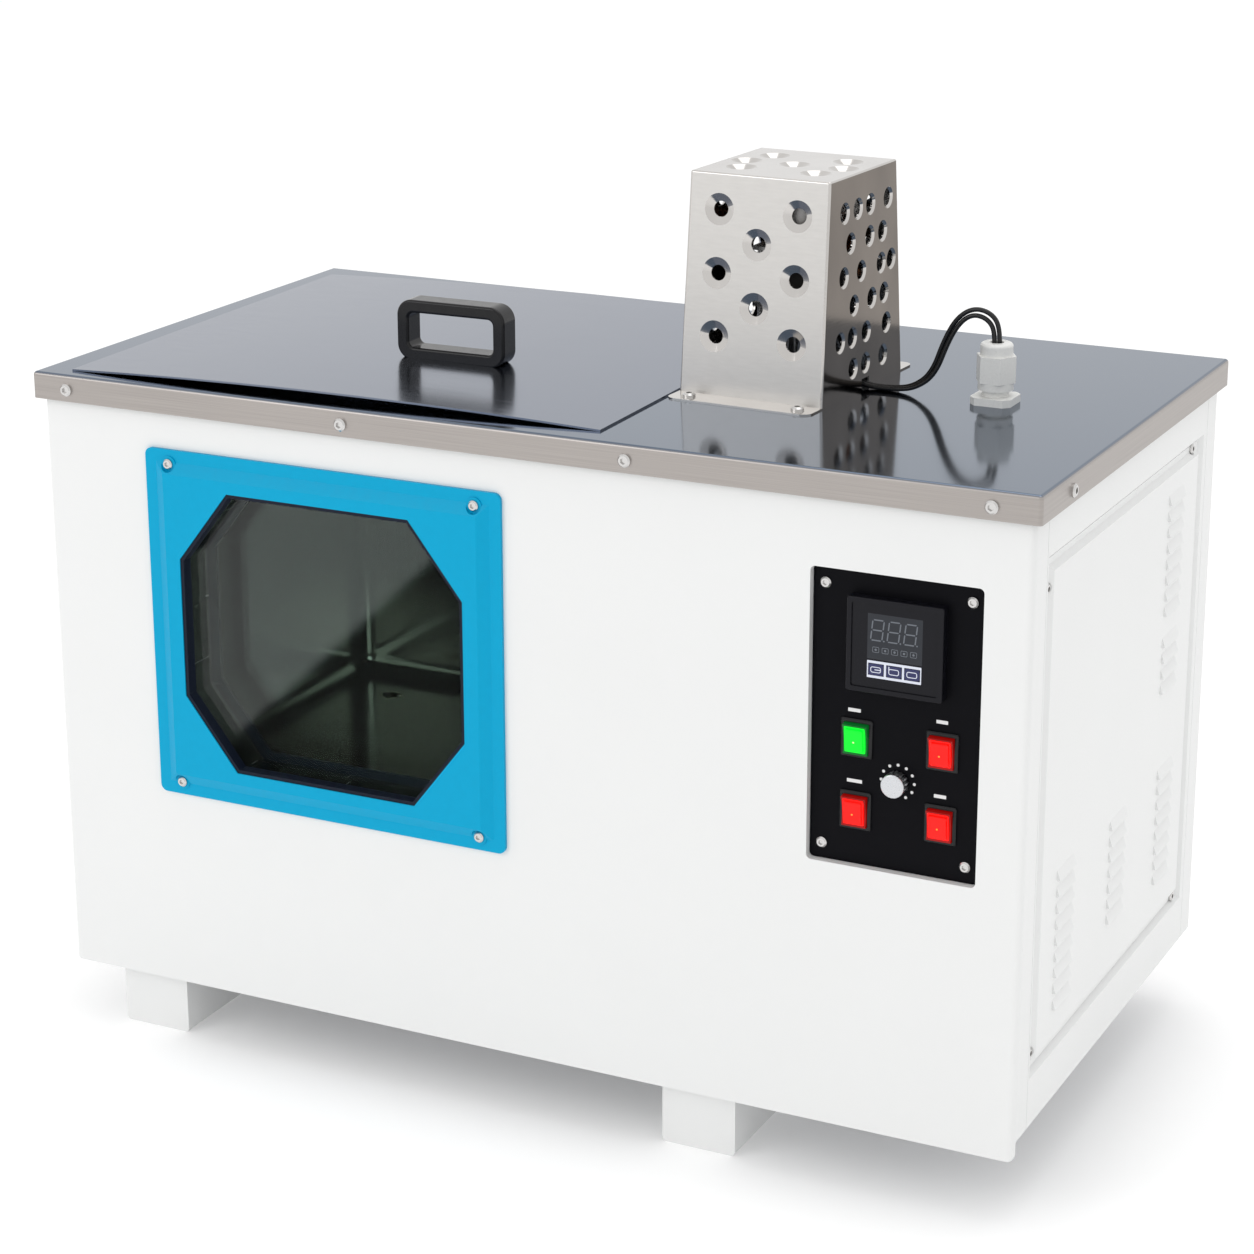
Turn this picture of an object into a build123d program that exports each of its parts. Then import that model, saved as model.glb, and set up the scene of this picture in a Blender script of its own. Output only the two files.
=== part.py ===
from build123d import *
import math
import os

# Stirred water bath with a double window, a loose lid and a stirrer motor under a perforated guard.
# Sizes are in millimetres. While it is built, x runs from the left edge of the top plate, y from
# its front edge towards the back, and z up from the bench. At the end all pieces move so that the
# origin lies on the bench under the middle of the whole bath.

# Overall sizes
plate_width = 860.0
plate_depth = 465.0
plate_top = 573.0
skirt_height = 22.0
skirt_bend = 3.0
cabinet_inset = 6.0
cabinet_corner = 5.0
sheet = 1.5
stainless = 1.5
cabinet_bottom = 70.0
front_lip_drop = 15.0
front_lip_return = 12.0
panel_return = 28.0
seam_gap = 0.5

# Feet
foot_width = 63.0
foot_wall = 2.5
foot_setback = 20.0
foot_centres_x = (77.5, 589.5)
foot_corner = 4.0
foot_plug = 6.0

# Floor pan
pan_thickness = 2.0
pan_edge = 20.0

# Tank and its jacket
tank_inner_left = 56.0
tank_inner_right = 616.0
tank_inner_front = 48.0
tank_inner_back = 408.0
tank_depth = 370.0
tank_corner = 16.0
tank_rim = 10.0
jacket_thickness = 34.0
jacket_gap = 0.3
jacket_clearance = 3.0
bearer_width = 60.0
bearer_foot = 14.0
bearer_inset = 130.0

# Bulkhead
bulkhead_x = 664.0
bulkhead_gap = 8.0
bulkhead_foot = 15.0

# Lid over the work opening
opening_centre = (261.4, 228.0)
opening_width = 390.0
opening_depth = 340.0
opening_lip = 8.0
opening_corner = 6.0
lid_width = 474.0
lid_depth = 416.0
lid_bow = 5.0
lid_turn = 1.3
locator_gap = 6.0
locator_height = 14.0
locator_flange = 12.0
lid_lift = 350.0

# Lid handle, a moulded loop
handle_offset = (40.0, -66.0)
handle_width = 98.0
handle_height = 50.0
handle_depth = 22.0
handle_bar = 10.5
handle_corner = 13.0
handle_inner_corner = 5.0
handle_screw_spacing = 64.0
handle_round = 2.2

# Window in the front
window_centre_x = 267.0
window_centre_z = plate_top - 199.0
window_width = 260.0
window_height = 236.0
window_cut_x = 47.0
window_cut_z = 60.0
window_panel_gap = 1.0
bezel_width = 324.0
bezel_height = 294.0
bezel_corner = 6.0
bezel_flange = 3.0
bezel_rise = 5.0
bezel_border = 10.0
bezel_slope = 9.0
bezel_screw_spacing = (279.0, 271.0)
bezel_seat_radius = 6.5
bezel_seat_rise = 1.0
gasket_lining = 3.0
gasket_flange = 9.0
gasket_thickness = 1.5
gasket_reveal = 1.0
glass = 5.0
collar_wall = 1.5
collar_clearance = 2.0

# Control panel in its pressed pocket
control_centre_x = 750.5
control_centre_z = plate_top - 189.5
control_width = 133.0
control_height = 228.0
control_thickness = 2.0
control_recess = 6.0
control_ledge = 16.0
control_clearance = 0.5
control_screw_spacing = (113.5, 203.0)
pocket_corner = 4.0

# Temperature controller
controller_x = 751.5
controller_z = plate_top - 128.7
controller_width = 75.0
controller_height = 72.0
controller_reach = 10.0
controller_body = 66.0
controller_body_depth = 72.0
controller_rim = 4.0
controller_face_recess = 1.2
display_thickness = 2.5
display_size = (42.5, 34.5)
display_centre_z = 7.5
key_size = (11.6, 8.6)
key_pitch = 14.0
key_row_z = -17.5
key_reach = 0.8
key_depth = 3.0
key_clearance = 0.25
key_travel = 0.6

# Rocker switches
switch_left_x = 720.3
switch_right_x = 787.2
switch_upper_z = plate_top - 204.4
switch_lower_z = plate_top - 261.0
switch_bezel_width = 25.0
switch_bezel_height = 30.0
switch_bezel_thickness = 2.2
switch_wall = 1.4
switch_depth = 20.0
rocker_width = 19.0
rocker_height = 23.6
rocker_gap = 0.45
rocker_rise = 5.6
rocker_dip = 3.7
rocker_tilt = 6.0
rocker_pin_radius = 1.3
rocker_pin_length = 0.9
rocker_back = (1.5, 7.0, 5.0)
terminal_offset = 7.0
terminal_blade = (6.3, 0.8)
terminal_blade_length = 8.0
fit_gap = 0.05

# Speed knob and its potentiometer
knob_x = 753.0
knob_z = plate_top - 233.5
knob_radius = 9.2
knob_height = 11.0
knob_gap = 1.0
knob_flutes = 18
knob_flute_radius = 0.9
knob_stem_radius = 3.0
knob_face_thickness = 2.5
knob_skirt = 2.0
knob_hollow_radius = 7.6
knob_hollow_depth = 3.0
pot_radius = 12.0
pot_depth = 16.0
pot_bush_radius = 4.5
pot_nut_radius = 6.5
pot_nut_thickness = 2.0
pot_stem_end = 26.0
pot_stem_play = 0.5

# Right side cover
cover_front = 37.0
cover_back = 422.0
cover_top = plate_top - 55.0
cover_bottom = plate_top - 463.0
groove_depth = 4.0
groove_slope = 4.0
groove_floor = 5.0
cover_ledge = 12.0
cover_gap = 0.4
cover_screw_drops = (26.0, 18.0)
cover_screw_insets = (23.0, 16.0)
louvre_length = 38.0
louvre_height = 8.5
louvre_reach = 2.6
louvre_wall = 1.0
louvre_pitch = 13.2
louvre_columns = (
    (350.5, plate_top - 84.0, 8),
    (350.5, plate_top - 203.0, 4),
    (355.0, plate_top - 318.0, 8),
    (231.0, plate_top - 318.0, 7),
    (103.5, plate_top - 312.0, 9),
)

# Stirrer motor and its guard
stirrer_x = 568.0
stirrer_y = 236.0
guard_width = 124.0
guard_top_width = 120.0
guard_depth = 150.0
guard_top_depth = 122.0
guard_height = 174.0
guard_wall = 1.2
guard_bend = 2.0
guard_flange = 24.0
guard_turn = -2.5
guard_corner = 8.0
guard_screw_spacing = 94.0
dimple_radius = 12.5
dimple_hole_radius = 6.2
dimple_depth = 3.2
dimple_rows = 5
dimple_top = 146.0
dimple_pitch = 24.7
dimple_side = 33.5
top_dimples = ((0, 0), (-42, 0), (42, 0), (-32, -29), (32, -29), (-32, 30), (32, 30))
side_hole_radius = 6.8
side_rim = 1.8
side_rim_depth = 1.8
side_hole_top = 146.0
side_hole_pitch = 25.0
side_hole_rows = (
    (-35, -11, 12, 45),
    (-24, 11, 35),
    (-36, -4, 33, 52),
    (-17, 16, 39),
    (-42, -20, 6, 44),
    (-18, 5, 38),
)
cable_notch = (14.0, 9.0)
notch_centre = 5.0
shaft_opening_radius = 14.0
motor_lift = 62.0
bridge_thickness = 3.0
bridge_gap = 7.0
stator_size = (56.0, 62.0, 28.0)
stator_offset = 13.0
rotor_radius = 11.0
air_gap = 0.5
pillar_radius = 3.0
pillar_spacing = (44.0, 24.0)
coil_window_width = 32.0
coil_window_front = 16.0
coil_side_gap = 1.0
coil_build = 6.0
coil_gap = 0.3
leg_thickness = 15.0
bush_radius = 8.0
bush_height = 6.0
shaft_radius = 4.0
shaft_bottom = 255.0
shaft_top_reach = 6.0
hub_radius = 9.0
hub_height = 16.0
blade_reach = 34.0
blade_width = 20.0
blade_thickness = 1.8
blade_corner = 4.0
blade_pitch = 35.0
blade_count = 4

# Heater and temperature probe
heater_tube_radius = 4.0
heater_reach = 175.0
heater_centre_y = 228.0
heater_leg_spacings = (36.0, 92.0)
heater_height = 32.0
heater_bend = 14.0
heater_flange_size = (116.0, 30.0)
heater_flange_corner = 10.0
heater_flange_thickness = 5.0
heater_cap_inset = 3.0
heater_cap_depth = 26.0
wall_hole_gap = 0.2
probe_radius = 3.0
probe_reach = 110.0
probe_y = 345.0
probe_z = 400.0
probe_nut = 9.0
probe_nut_depth = 14.0

# Motor lead and its gland
gland_x = 738.0
gland_y = 240.0
gland_base_size = 33.0
gland_base_height = 6.0
gland_base_cut = 5.0
gland_neck_radius = 10.5
gland_neck_height = 5.0
gland_collar_radius = 14.0
gland_collar_height = 6.0
gland_nut_flats = 28.0
gland_nut_height = 21.0
gland_cap_radius = 12.8
gland_cap_height = 10.0
gland_sleeve_radius = 9.5
gland_sleeve_height = 13.0
gland_well = 2.0
gland_thread_radius = 9.0
gland_thread_length = 14.0
gland_bore_radius = 5.5
lead_diameter = 3.8
bend_share = 0.45
lead_left_route = (
    (735.9, 240.0, 46.0),
    (735.9, 240.0, 57.5),
    (728.8, 240.0, 65.9),
    (717.5, 240.0, 67.9),
    (707.3, 239.8, 60.7),
    (698.5, 239.2, 45.0),
    (688.5, 238.5, 17.0),
    (672.0, 237.8, 4.6),
    (654.0, 237.2, 2.2),
    (632.0, 236.2, 2.6),
    (610.0, 240.0, 9.0),
    (598.0, 256.0, 26.0),
    (581.0, 265.0, 46.0),
    (581.0, 265.0, 66.0),
)
lead_right_route = (
    (740.1, 240.0, 46.0),
    (740.1, 240.0, 60.5),
    (732.0, 240.0, 70.6),
    (718.0, 240.2, 72.9),
    (704.6, 240.4, 64.0),
    (694.5, 241.0, 46.0),
    (684.5, 241.8, 17.5),
    (669.0, 242.2, 4.9),
    (652.0, 242.0, 2.2),
    (632.0, 240.8, 2.6),
    (612.0, 245.0, 10.0),
    (602.0, 262.0, 28.0),
    (579.5, 275.0, 46.0),
    (579.5, 275.0, 66.0),
)

# Electrical space
relay_left = 720.0
relay_front = 200.0
relay_size = (46.0, 78.0, 30.0)
relay_base = 6.0
relay_fin = 2.5
relay_case_height = 22.0
mains_gland_x = 760.0
mains_gland_z = 150.0
mains_hex = 12.0
mains_cap = 9.0
mains_thread = 10.0
mains_lock_nut = 5.0

# Drain with its cock on the back
drain_x = 120.0
drain_y = 350.0
drain_z = 130.0
drain_pipe_radius = 10.5
drain_pipe_wall = 2.0
drain_bend = 22.0
drain_flange = 3.0
drain_collar = 2.0
drain_pipe_insert = 6.0
valve_body_radius = 15.0
valve_ball_radius = 11.0
valve_neck_radius = 8.0
valve_neck_height = 22.0
valve_hex = 30.0
valve_reach = 52.0
valve_hex_length = 10.0
valve_stem_radius = 4.0
valve_stem_height = 27.0
lever_length = 52.0
lever_width = 11.0
lever_thickness = 3.5
lever_step = 14.0
lever_gap = 0.5

# Screws
screw_head_radius = 5.2
screw_head_height = 2.8
screw_shank_radius = 2.5
screw_length = 9.0
small_head_radius = 4.3
small_head_height = 2.4
small_shank_radius = 2.0
socket_share = 0.5
socket_depth = 0.6
head_bevel = 0.45
skirt_screw_drop = 12.3
skirt_screws_front = (33.0, 291.0, 536.0, 823.0)
skirt_screw_side = 66.5

# Levels and planes worked out from the sizes above
plate_under = plate_top - stainless
lip_bottom = cabinet_bottom - front_lip_drop
front_face = cabinet_inset
front_inside = front_face + sheet
back_face = plate_depth - cabinet_inset
back_inside = back_face - sheet
left_face = cabinet_inset
left_inside = left_face + sheet
right_face = plate_width - cabinet_inset
right_inside = right_face - sheet
pan_top = cabinet_bottom + pan_thickness
tank_outer_left = tank_inner_left - stainless
tank_outer_right = tank_inner_right + stainless
tank_outer_front = tank_inner_front - stainless
tank_outer_back = tank_inner_back + stainless
tank_floor = plate_top - tank_depth
tank_under = tank_floor - stainless
jacket_under = tank_under - jacket_thickness
control_face = front_face + control_recess
control_back = control_face + control_thickness
ledge_back = control_back + sheet
outer_gasket_back = front_inside + gasket_thickness
outer_pane_back = outer_gasket_back + glass
inner_gasket_front = tank_outer_front - gasket_thickness
inner_pane_front = inner_gasket_front - glass
valve_end = back_face + valve_reach
front_most = -screw_head_height
drain_pipe_end = back_face + drain_pipe_insert
gland_top = (gland_base_height + gland_neck_height + gland_collar_height + gland_nut_height
             + gland_cap_height)


def block(x0, x1, y0, y1, z0, z1):
    """Rectangular block between two corners."""
    return Pos(x0, y0, z0) * Box(x1 - x0, y1 - y0, z1 - z0, align=(Align.MIN, Align.MIN, Align.MIN))


def upright_block(x0, x1, y0, y1, z0, z1, radius):
    """Block with its four upright edges rounded."""
    outline = Pos((x0 + x1) / 2, (y0 + y1) / 2, z0) * RectangleRounded(x1 - x0, y1 - y0, radius)
    return extrude(outline, z1 - z0, dir=(0, 0, 1))


def facing_front(sketch, y, thickness):
    """Sketch drawn in x and z, set at y and thickened towards the back."""
    return Pos(0, y, 0) * extrude(Plane.XZ * sketch, thickness, dir=(0, 1, 0))


def facing_right(sketch, x, thickness):
    """Sketch drawn in y and z, set at x and thickened towards the left."""
    return Pos(x, 0, 0) * extrude(Plane.YZ * sketch, thickness, dir=(-1, 0, 0))


def rod(start, direction, radius, length):
    """Round rod from a point along a direction."""
    return extrude(Plane(origin=start, z_dir=direction) * Circle(radius), length)


def tube_along(points, radii, radius):
    """Round rod along straight runs joined by arcs."""
    path = FilletPolyline(*points, radius=radii)
    start = Plane(origin=path @ 0, z_dir=path % 0)
    return sweep(start * Circle(radius), path=path)


def screw(origin, outward, head_radius, head_height, shank_radius, length):
    """Button head screw with a hexagon socket, its head seated at the origin."""
    upward = (Align.CENTER, Align.CENTER, Align.MIN)
    head = Cylinder(head_radius, head_height, align=upward)
    head = chamfer(head.edges().sort_by(Axis.Z)[-1], head_height * head_bevel)
    socket = Pos(0, 0, head_height * (1 - socket_depth)) * extrude(
        RegularPolygon(head_radius * socket_share, 6), head_height)
    shank = Pos(0, 0, -length) * Cylinder(shank_radius, length, align=upward)
    return Plane(origin=origin, z_dir=outward) * (head - socket + shank)


def main_screw(origin, outward, length=screw_length):
    """Screw of the size that holds the top plate, the guard and the handle."""
    return screw(origin, outward, screw_head_radius, screw_head_height, screw_shank_radius, length)


def small_screw(origin, outward, length=screw_length):
    """Screw of the size that holds the window, the control plate and the side cover."""
    return screw(origin, outward, small_head_radius, small_head_height, small_shank_radius, length)


def screw_hole(origin, outward, shank_radius, length):
    """Clearance hole for a screw, reaching a little past the sheet on both sides."""
    start = Vector(origin) + Vector(outward) * 2
    return rod(start, Vector(outward) * -1, shank_radius + fit_gap, length + 4)


# Feet and floor
def foot_rail(centre_x):
    """Box section rail that runs from front to back."""
    outside = RectangleRounded(foot_width, cabinet_bottom, foot_corner)
    inside = RectangleRounded(foot_width - 2 * foot_wall, cabinet_bottom - 2 * foot_wall,
                              foot_corner - foot_wall)
    section = Pos(centre_x, cabinet_bottom / 2) * (outside - inside)
    return facing_front(section, foot_setback, plate_depth - 2 * foot_setback)


def foot_end_plugs():
    """Plug in each end of both rails."""
    plug = RectangleRounded(foot_width - 2 * foot_wall, cabinet_bottom - 2 * foot_wall,
                            foot_corner - foot_wall)
    plugs = []
    for centre_x in foot_centres_x:
        for y in (foot_setback, plate_depth - foot_setback - foot_plug):
            plugs.append(facing_front(Pos(centre_x, cabinet_bottom / 2) * plug, y, foot_plug))
    return Compound(children=plugs)


def floor_pan():
    """Tray with turned-up edges that carries everything in the cabinet."""
    tray = upright_block(left_inside, right_inside, front_inside, back_inside,
                         cabinet_bottom, cabinet_bottom + pan_edge, cabinet_corner - sheet)
    inner = upright_block(left_inside + pan_thickness, right_inside - pan_thickness,
                          front_inside + pan_thickness, back_inside - pan_thickness,
                          pan_top, cabinet_bottom + pan_edge + 1, cabinet_corner - sheet - 1)
    return tray - inner


# Cabinet sheets
def cabinet_wall(z0, z1):
    """The cabinet's four walls as one ring, from which each panel is cut."""
    outside = upright_block(left_face, right_face, front_face, back_face, z0, z1, cabinet_corner)
    inside = upright_block(left_inside, right_inside, front_inside, back_inside,
                           z0 - 1, z1 + 1, cabinet_corner - sheet)
    return outside - inside


def skirt_screw_places():
    """Seat and outward direction of every screw round the top plate's skirt."""
    z = plate_top - skirt_screw_drop
    places = [((x, 0, z), (0, -1, 0)) for x in skirt_screws_front]
    places += [((x, plate_depth, z), (0, 1, 0)) for x in skirt_screws_front]
    places.append(((0, skirt_screw_side, z), (-1, 0, 0)))
    places.append(((plate_width, skirt_screw_side, z), (1, 0, 0)))
    return places


def skirt_holes():
    """Holes for the skirt screws, through the skirt and the cabinet behind it."""
    return [screw_hole(seat, out, screw_shank_radius, screw_length) for seat, out in skirt_screw_places()]


def window_outline(grow=0.0):
    """The window's eight-sided outline in x and z, moved out by grow."""
    half_x = window_width / 2
    half_z = window_height / 2
    corners = []
    for sx, sz in ((1, 1), (-1, 1), (-1, -1), (1, -1)):
        ends = [(sx * half_x, sz * (half_z - window_cut_z)), (sx * (half_x - window_cut_x), sz * half_z)]
        corners += ends if sx * sz > 0 else ends[::-1]
    outline = make_face(Polyline(*corners, close=True))
    if grow:
        outline = offset(outline, grow, kind=Kind.INTERSECTION)
    return Pos(window_centre_x, window_centre_z) * outline


def bezel_screw_places():
    """Seats of the four window screws."""
    y = front_face - bezel_flange - bezel_seat_rise
    half_x = bezel_screw_spacing[0] / 2
    half_z = bezel_screw_spacing[1] / 2
    return [(window_centre_x + sx * half_x, y, window_centre_z + sz * half_z)
            for sx in (-1, 1) for sz in (-1, 1)]


def control_screw_places():
    """Seats of the four control plate screws."""
    half_x = control_screw_spacing[0] / 2
    half_z = control_screw_spacing[1] / 2
    return [(control_centre_x + sx * half_x, control_face, control_centre_z + sz * half_z)
            for sx in (-1, 1) for sz in (-1, 1)]


def front_panel():
    """Front sheet with its side returns, hanging lip, window hole and control pocket."""
    panel = cabinet_wall(cabinet_bottom, plate_under)
    panel &= block(0, plate_width, 0, front_face + panel_return, lip_bottom, plate_top)
    lip = cabinet_wall(lip_bottom, cabinet_bottom)
    lip &= block(0, plate_width, 0, front_face + cabinet_corner, lip_bottom, cabinet_bottom)
    lip_height = 2 * front_lip_drop
    lip_outline = Pos(plate_width / 2, lip_bottom + lip_height / 2) * RectangleRounded(
        right_face - left_face, lip_height, cabinet_corner)
    lip &= facing_front(lip_outline, 0, front_face + cabinet_corner)
    hem = block(left_face + 2 * cabinet_corner, right_face - 2 * cabinet_corner,
                front_inside - sheet / 2, front_face + front_lip_return, lip_bottom, lip_bottom + sheet)
    panel += lip + hem
    panel -= facing_front(window_outline(window_panel_gap), 0, front_inside + 1)
    centre = Pos(control_centre_x, control_centre_z)
    pocket_width = control_width + 2 * control_clearance
    pocket_height = control_height + 2 * control_clearance
    walls = RectangleRounded(pocket_width + 2 * sheet, pocket_height + 2 * sheet, pocket_corner + sheet)
    hollow = RectangleRounded(pocket_width, pocket_height, pocket_corner)
    through = Rectangle(pocket_width - 2 * control_ledge, pocket_height - 2 * control_ledge)
    panel += facing_front(centre * walls, front_face, ledge_back - front_face)
    panel -= facing_front(centre * hollow, 0, control_back)
    panel -= facing_front(centre * through, 0, ledge_back + 1)
    panel -= skirt_holes()[:len(skirt_screws_front)]
    for place in bezel_screw_places() + control_screw_places():
        panel -= screw_hole(place, (0, -1, 0), small_shank_radius, screw_length)
    return panel


def back_panel():
    """Back sheet with its side returns and the holes for the mains gland and the drain."""
    panel = cabinet_wall(cabinet_bottom, plate_under)
    panel &= block(0, plate_width, back_face - panel_return, plate_depth, 0, plate_top)
    panel -= skirt_holes()[len(skirt_screws_front):2 * len(skirt_screws_front)]
    panel -= rod((mains_gland_x, back_inside - 1, mains_gland_z), (0, 1, 0), gland_thread_radius + fit_gap, 4)
    panel -= rod((drain_x, back_inside - 1, drain_z), (0, 1, 0), drain_pipe_radius + fit_gap, 4)
    return panel


def side_sheet(x0, x1):
    """The plain sheet between the front and back returns, on one side."""
    panel = cabinet_wall(cabinet_bottom, plate_under)
    front = front_face + panel_return + seam_gap
    back = back_face - panel_return - seam_gap
    return panel & block(x0, x1, front, back, 0, plate_top)


def left_panel():
    return side_sheet(0, left_face + cabinet_corner) - skirt_holes()[-2]


# Side cover in its grooved frame
groove_bottom_x = right_face - groove_depth
ledge_x = groove_bottom_x - sheet
cover_middle = ((cover_front + cover_back) / 2, (cover_bottom + cover_top) / 2)


def cover_rectangle(shrink):
    """The cover opening's outline in y and z, made smaller by shrink on every side."""
    return Pos(*cover_middle) * Rectangle(cover_back - cover_front - 2 * shrink,
                                          cover_top - cover_bottom - 2 * shrink)


def sloped_frame(x_outer, shrink_outer, x_inner, shrink_inner):
    """Solid between two rectangles of the cover's outline at two distances out."""
    outer = Pos(x_outer, 0, 0) * (Plane.YZ * cover_rectangle(shrink_outer))
    inner = Pos(x_inner, 0, 0) * (Plane.YZ * cover_rectangle(shrink_inner))
    return loft([outer, inner])


def cover_screw_seats():
    """Seats of the four cover screws, in the middle of the groove floor."""
    inset = groove_slope + cover_gap + groove_floor / 2
    return [
        (groove_bottom_x, cover_front + inset, cover_top - cover_screw_drops[0]),
        (groove_bottom_x, cover_back - cover_screw_insets[0], cover_top - inset),
        (groove_bottom_x, cover_back - cover_screw_insets[1], cover_bottom + inset),
        (groove_bottom_x, cover_front + inset, cover_bottom + cover_screw_drops[1]),
    ]


def cover_seat_cuts():
    """Round clearings that let the screw heads sit on the groove floor."""
    return [rod(seat, (1, 0, 0), small_head_radius + 1, groove_depth + 1) for seat in cover_screw_seats()]


def cover_screw_holes():
    return [screw_hole(seat, (1, 0, 0), small_shank_radius, screw_length) for seat in cover_screw_seats()]


def right_panel():
    """Right side sheet with a bevelled opening and a ledge behind it for the cover."""
    panel = side_sheet(right_face - cabinet_corner, plate_width)
    panel -= facing_right(cover_rectangle(0), plate_width, cabinet_corner + plate_width - right_face)
    bevel = sloped_frame(right_face, -sheet, ledge_x - sheet, groove_slope - sheet)
    ledge_hole = facing_right(cover_rectangle(groove_slope + cover_ledge), plate_width, plate_width - ledge_x + 10)
    panel += bevel - sloped_frame(right_face, 0, ledge_x, groove_slope) - ledge_hole
    panel -= skirt_holes()[-1]
    panel -= cover_seat_cuts()
    panel -= cover_screw_holes()
    return panel


def louvre_places():
    """Middle and top of every louvre on the cover."""
    places = []
    for y, top, count in louvre_columns:
        places += [(y, top - row * louvre_pitch) for row in range(count)]
    return places


def louvre_wedge(y, top, length, height, reach):
    """Wedge that stands out from the cover's face and leans back to it at the top."""
    side = make_face(Polyline((right_face - sheet, top), (right_face, top), (right_face + reach, top - height),
                              (right_face - sheet, top - height), close=True))
    return facing_front(side, y - length / 2, length)


def side_cover():
    """Service cover with a raised face, a flat flange all round and pressed louvres."""
    flange_edge = groove_slope + cover_gap
    base = flange_edge + groove_floor
    face = base + groove_slope
    cover = facing_right(cover_rectangle(flange_edge), groove_bottom_x, sheet)
    cover += sloped_frame(right_face, face, groove_bottom_x, base)
    cover -= sloped_frame(right_face - sheet, face + sheet / 2, ledge_x, base + sheet / 2)
    places = louvre_places()
    cover += [louvre_wedge(y, top, louvre_length, louvre_height, louvre_reach) for y, top in places]
    cover -= [louvre_wedge(y, top - louvre_wall, louvre_length - 2 * louvre_wall,
                           louvre_height - louvre_wall, louvre_reach - louvre_wall) for y, top in places]
    cover -= cover_seat_cuts()
    cover -= cover_screw_holes()
    return cover


# Top plate
def opening_block(grow, z0, z1):
    """Upright block of the work opening's outline, moved out by grow."""
    x, y = opening_centre
    half_x = opening_width / 2 + grow
    half_y = opening_depth / 2 + grow
    return upright_block(x - half_x, x + half_x, y - half_y, y + half_y, z0, z1, opening_corner + grow)


def guard_screw_places():
    """Seats of the four guard screws in the guard's own frame."""
    y = guard_depth / 2 + guard_flange / 2
    return [(sx * guard_screw_spacing / 2, sy * y, guard_wall) for sx in (-1, 1) for sy in (-1, 1)]


def top_plate():
    """Pressed plate with a skirt all round, a lipped work opening and three smaller holes."""
    outside = block(0, plate_width, 0, plate_depth, plate_top - skirt_height, plate_top)
    outside = fillet(outside.edges() - outside.faces().sort_by(Axis.Z)[0].edges(), skirt_bend)
    inside = block(stainless, plate_width - stainless, stainless, plate_depth - stainless,
                   plate_top - skirt_height - 1, plate_under)
    inside = fillet(inside.edges() - inside.faces().sort_by(Axis.Z)[0].edges(), skirt_bend - stainless)
    plate = outside - inside
    plate += opening_block(stainless, plate_under - opening_lip, plate_top - stainless / 2)
    plate -= opening_block(0, plate_under - opening_lip - 1, plate_top + 1)
    plate -= rod((stirrer_x, stirrer_y, plate_under - 1), (0, 0, 1), shaft_opening_radius, stainless + 2)
    plate -= rod((gland_x, gland_y, plate_under - 1), (0, 0, 1), gland_thread_radius + fit_gap, stainless + 2)
    plate -= skirt_holes()
    for place in guard_screw_places():
        plate -= guard_place * screw_hole(place, (0, 0, 1), screw_shank_radius, screw_length)
    return plate


# Tank, jacket and bearers
def tank_block(grow, z1):
    """The tank's inner space with rounded lower and upright edges, moved out by grow."""
    shape = block(tank_inner_left - grow, tank_inner_right + grow, tank_inner_front - grow,
                  tank_inner_back + grow, tank_floor - grow, z1)
    return fillet(shape.edges() - shape.faces().sort_by(Axis.Z)[-1].edges(), tank_corner + grow)


def heater_legs():
    """Places in y where the heater's legs pass through the tank wall."""
    return [heater_centre_y + side * spacing / 2 for spacing in heater_leg_spacings for side in (-1, 1)]


def tank():
    """Welded inner tank with an outward rim, a window hole and holes for heater, probe and drain."""
    shell = tank_block(stainless, plate_under)
    rim_reach = stainless + tank_rim
    shell += upright_block(tank_inner_left - rim_reach, tank_inner_right + rim_reach,
                           tank_inner_front - rim_reach, tank_inner_back + rim_reach,
                           plate_under - stainless, plate_under, tank_corner + rim_reach)
    shell -= tank_block(0, plate_top)
    shell -= facing_front(window_outline(), tank_outer_front - 1, stainless + 2)
    wall = tank_inner_right - 1
    for y in heater_legs():
        shell -= rod((wall, y, tank_floor + heater_height), (1, 0, 0),
                     heater_tube_radius + wall_hole_gap, stainless + 2)
    shell -= rod((wall, probe_y, probe_z), (1, 0, 0), probe_radius + wall_hole_gap, stainless + 2)
    shell -= rod((drain_x, drain_y, tank_under - 1), (0, 0, 1), drain_pipe_radius + fit_gap, stainless + 2)
    return shell


def tank_jacket():
    """Mineral wool round the tank, with passages for window, heater, probe and drain."""
    jacket = upright_block(tank_outer_left - jacket_thickness, tank_outer_right + jacket_thickness,
                           tank_outer_front - jacket_thickness, tank_outer_back + jacket_thickness,
                           jacket_under, plate_under - stainless, tank_corner)
    jacket -= tank_block(stainless + jacket_gap, plate_top)
    jacket -= facing_front(window_outline(gasket_flange + jacket_clearance), 0, tank_outer_front + jacket_gap)
    start = tank_outer_right - 1
    reach = jacket_thickness + 2
    heater_way = Pos(heater_centre_y, tank_floor + heater_height) * RectangleRounded(
        heater_flange_size[0] + 2 * jacket_clearance, heater_flange_size[1] + 2 * jacket_clearance,
        heater_flange_corner)
    jacket -= facing_right(heater_way, start + reach, reach)
    jacket -= rod((start, probe_y, probe_z), (1, 0, 0), probe_nut + jacket_clearance, reach)
    jacket -= rod((drain_x, drain_y, jacket_under - 1), (0, 0, 1), drain_pipe_radius + jacket_clearance,
                  jacket_thickness + 2)
    return jacket


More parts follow.
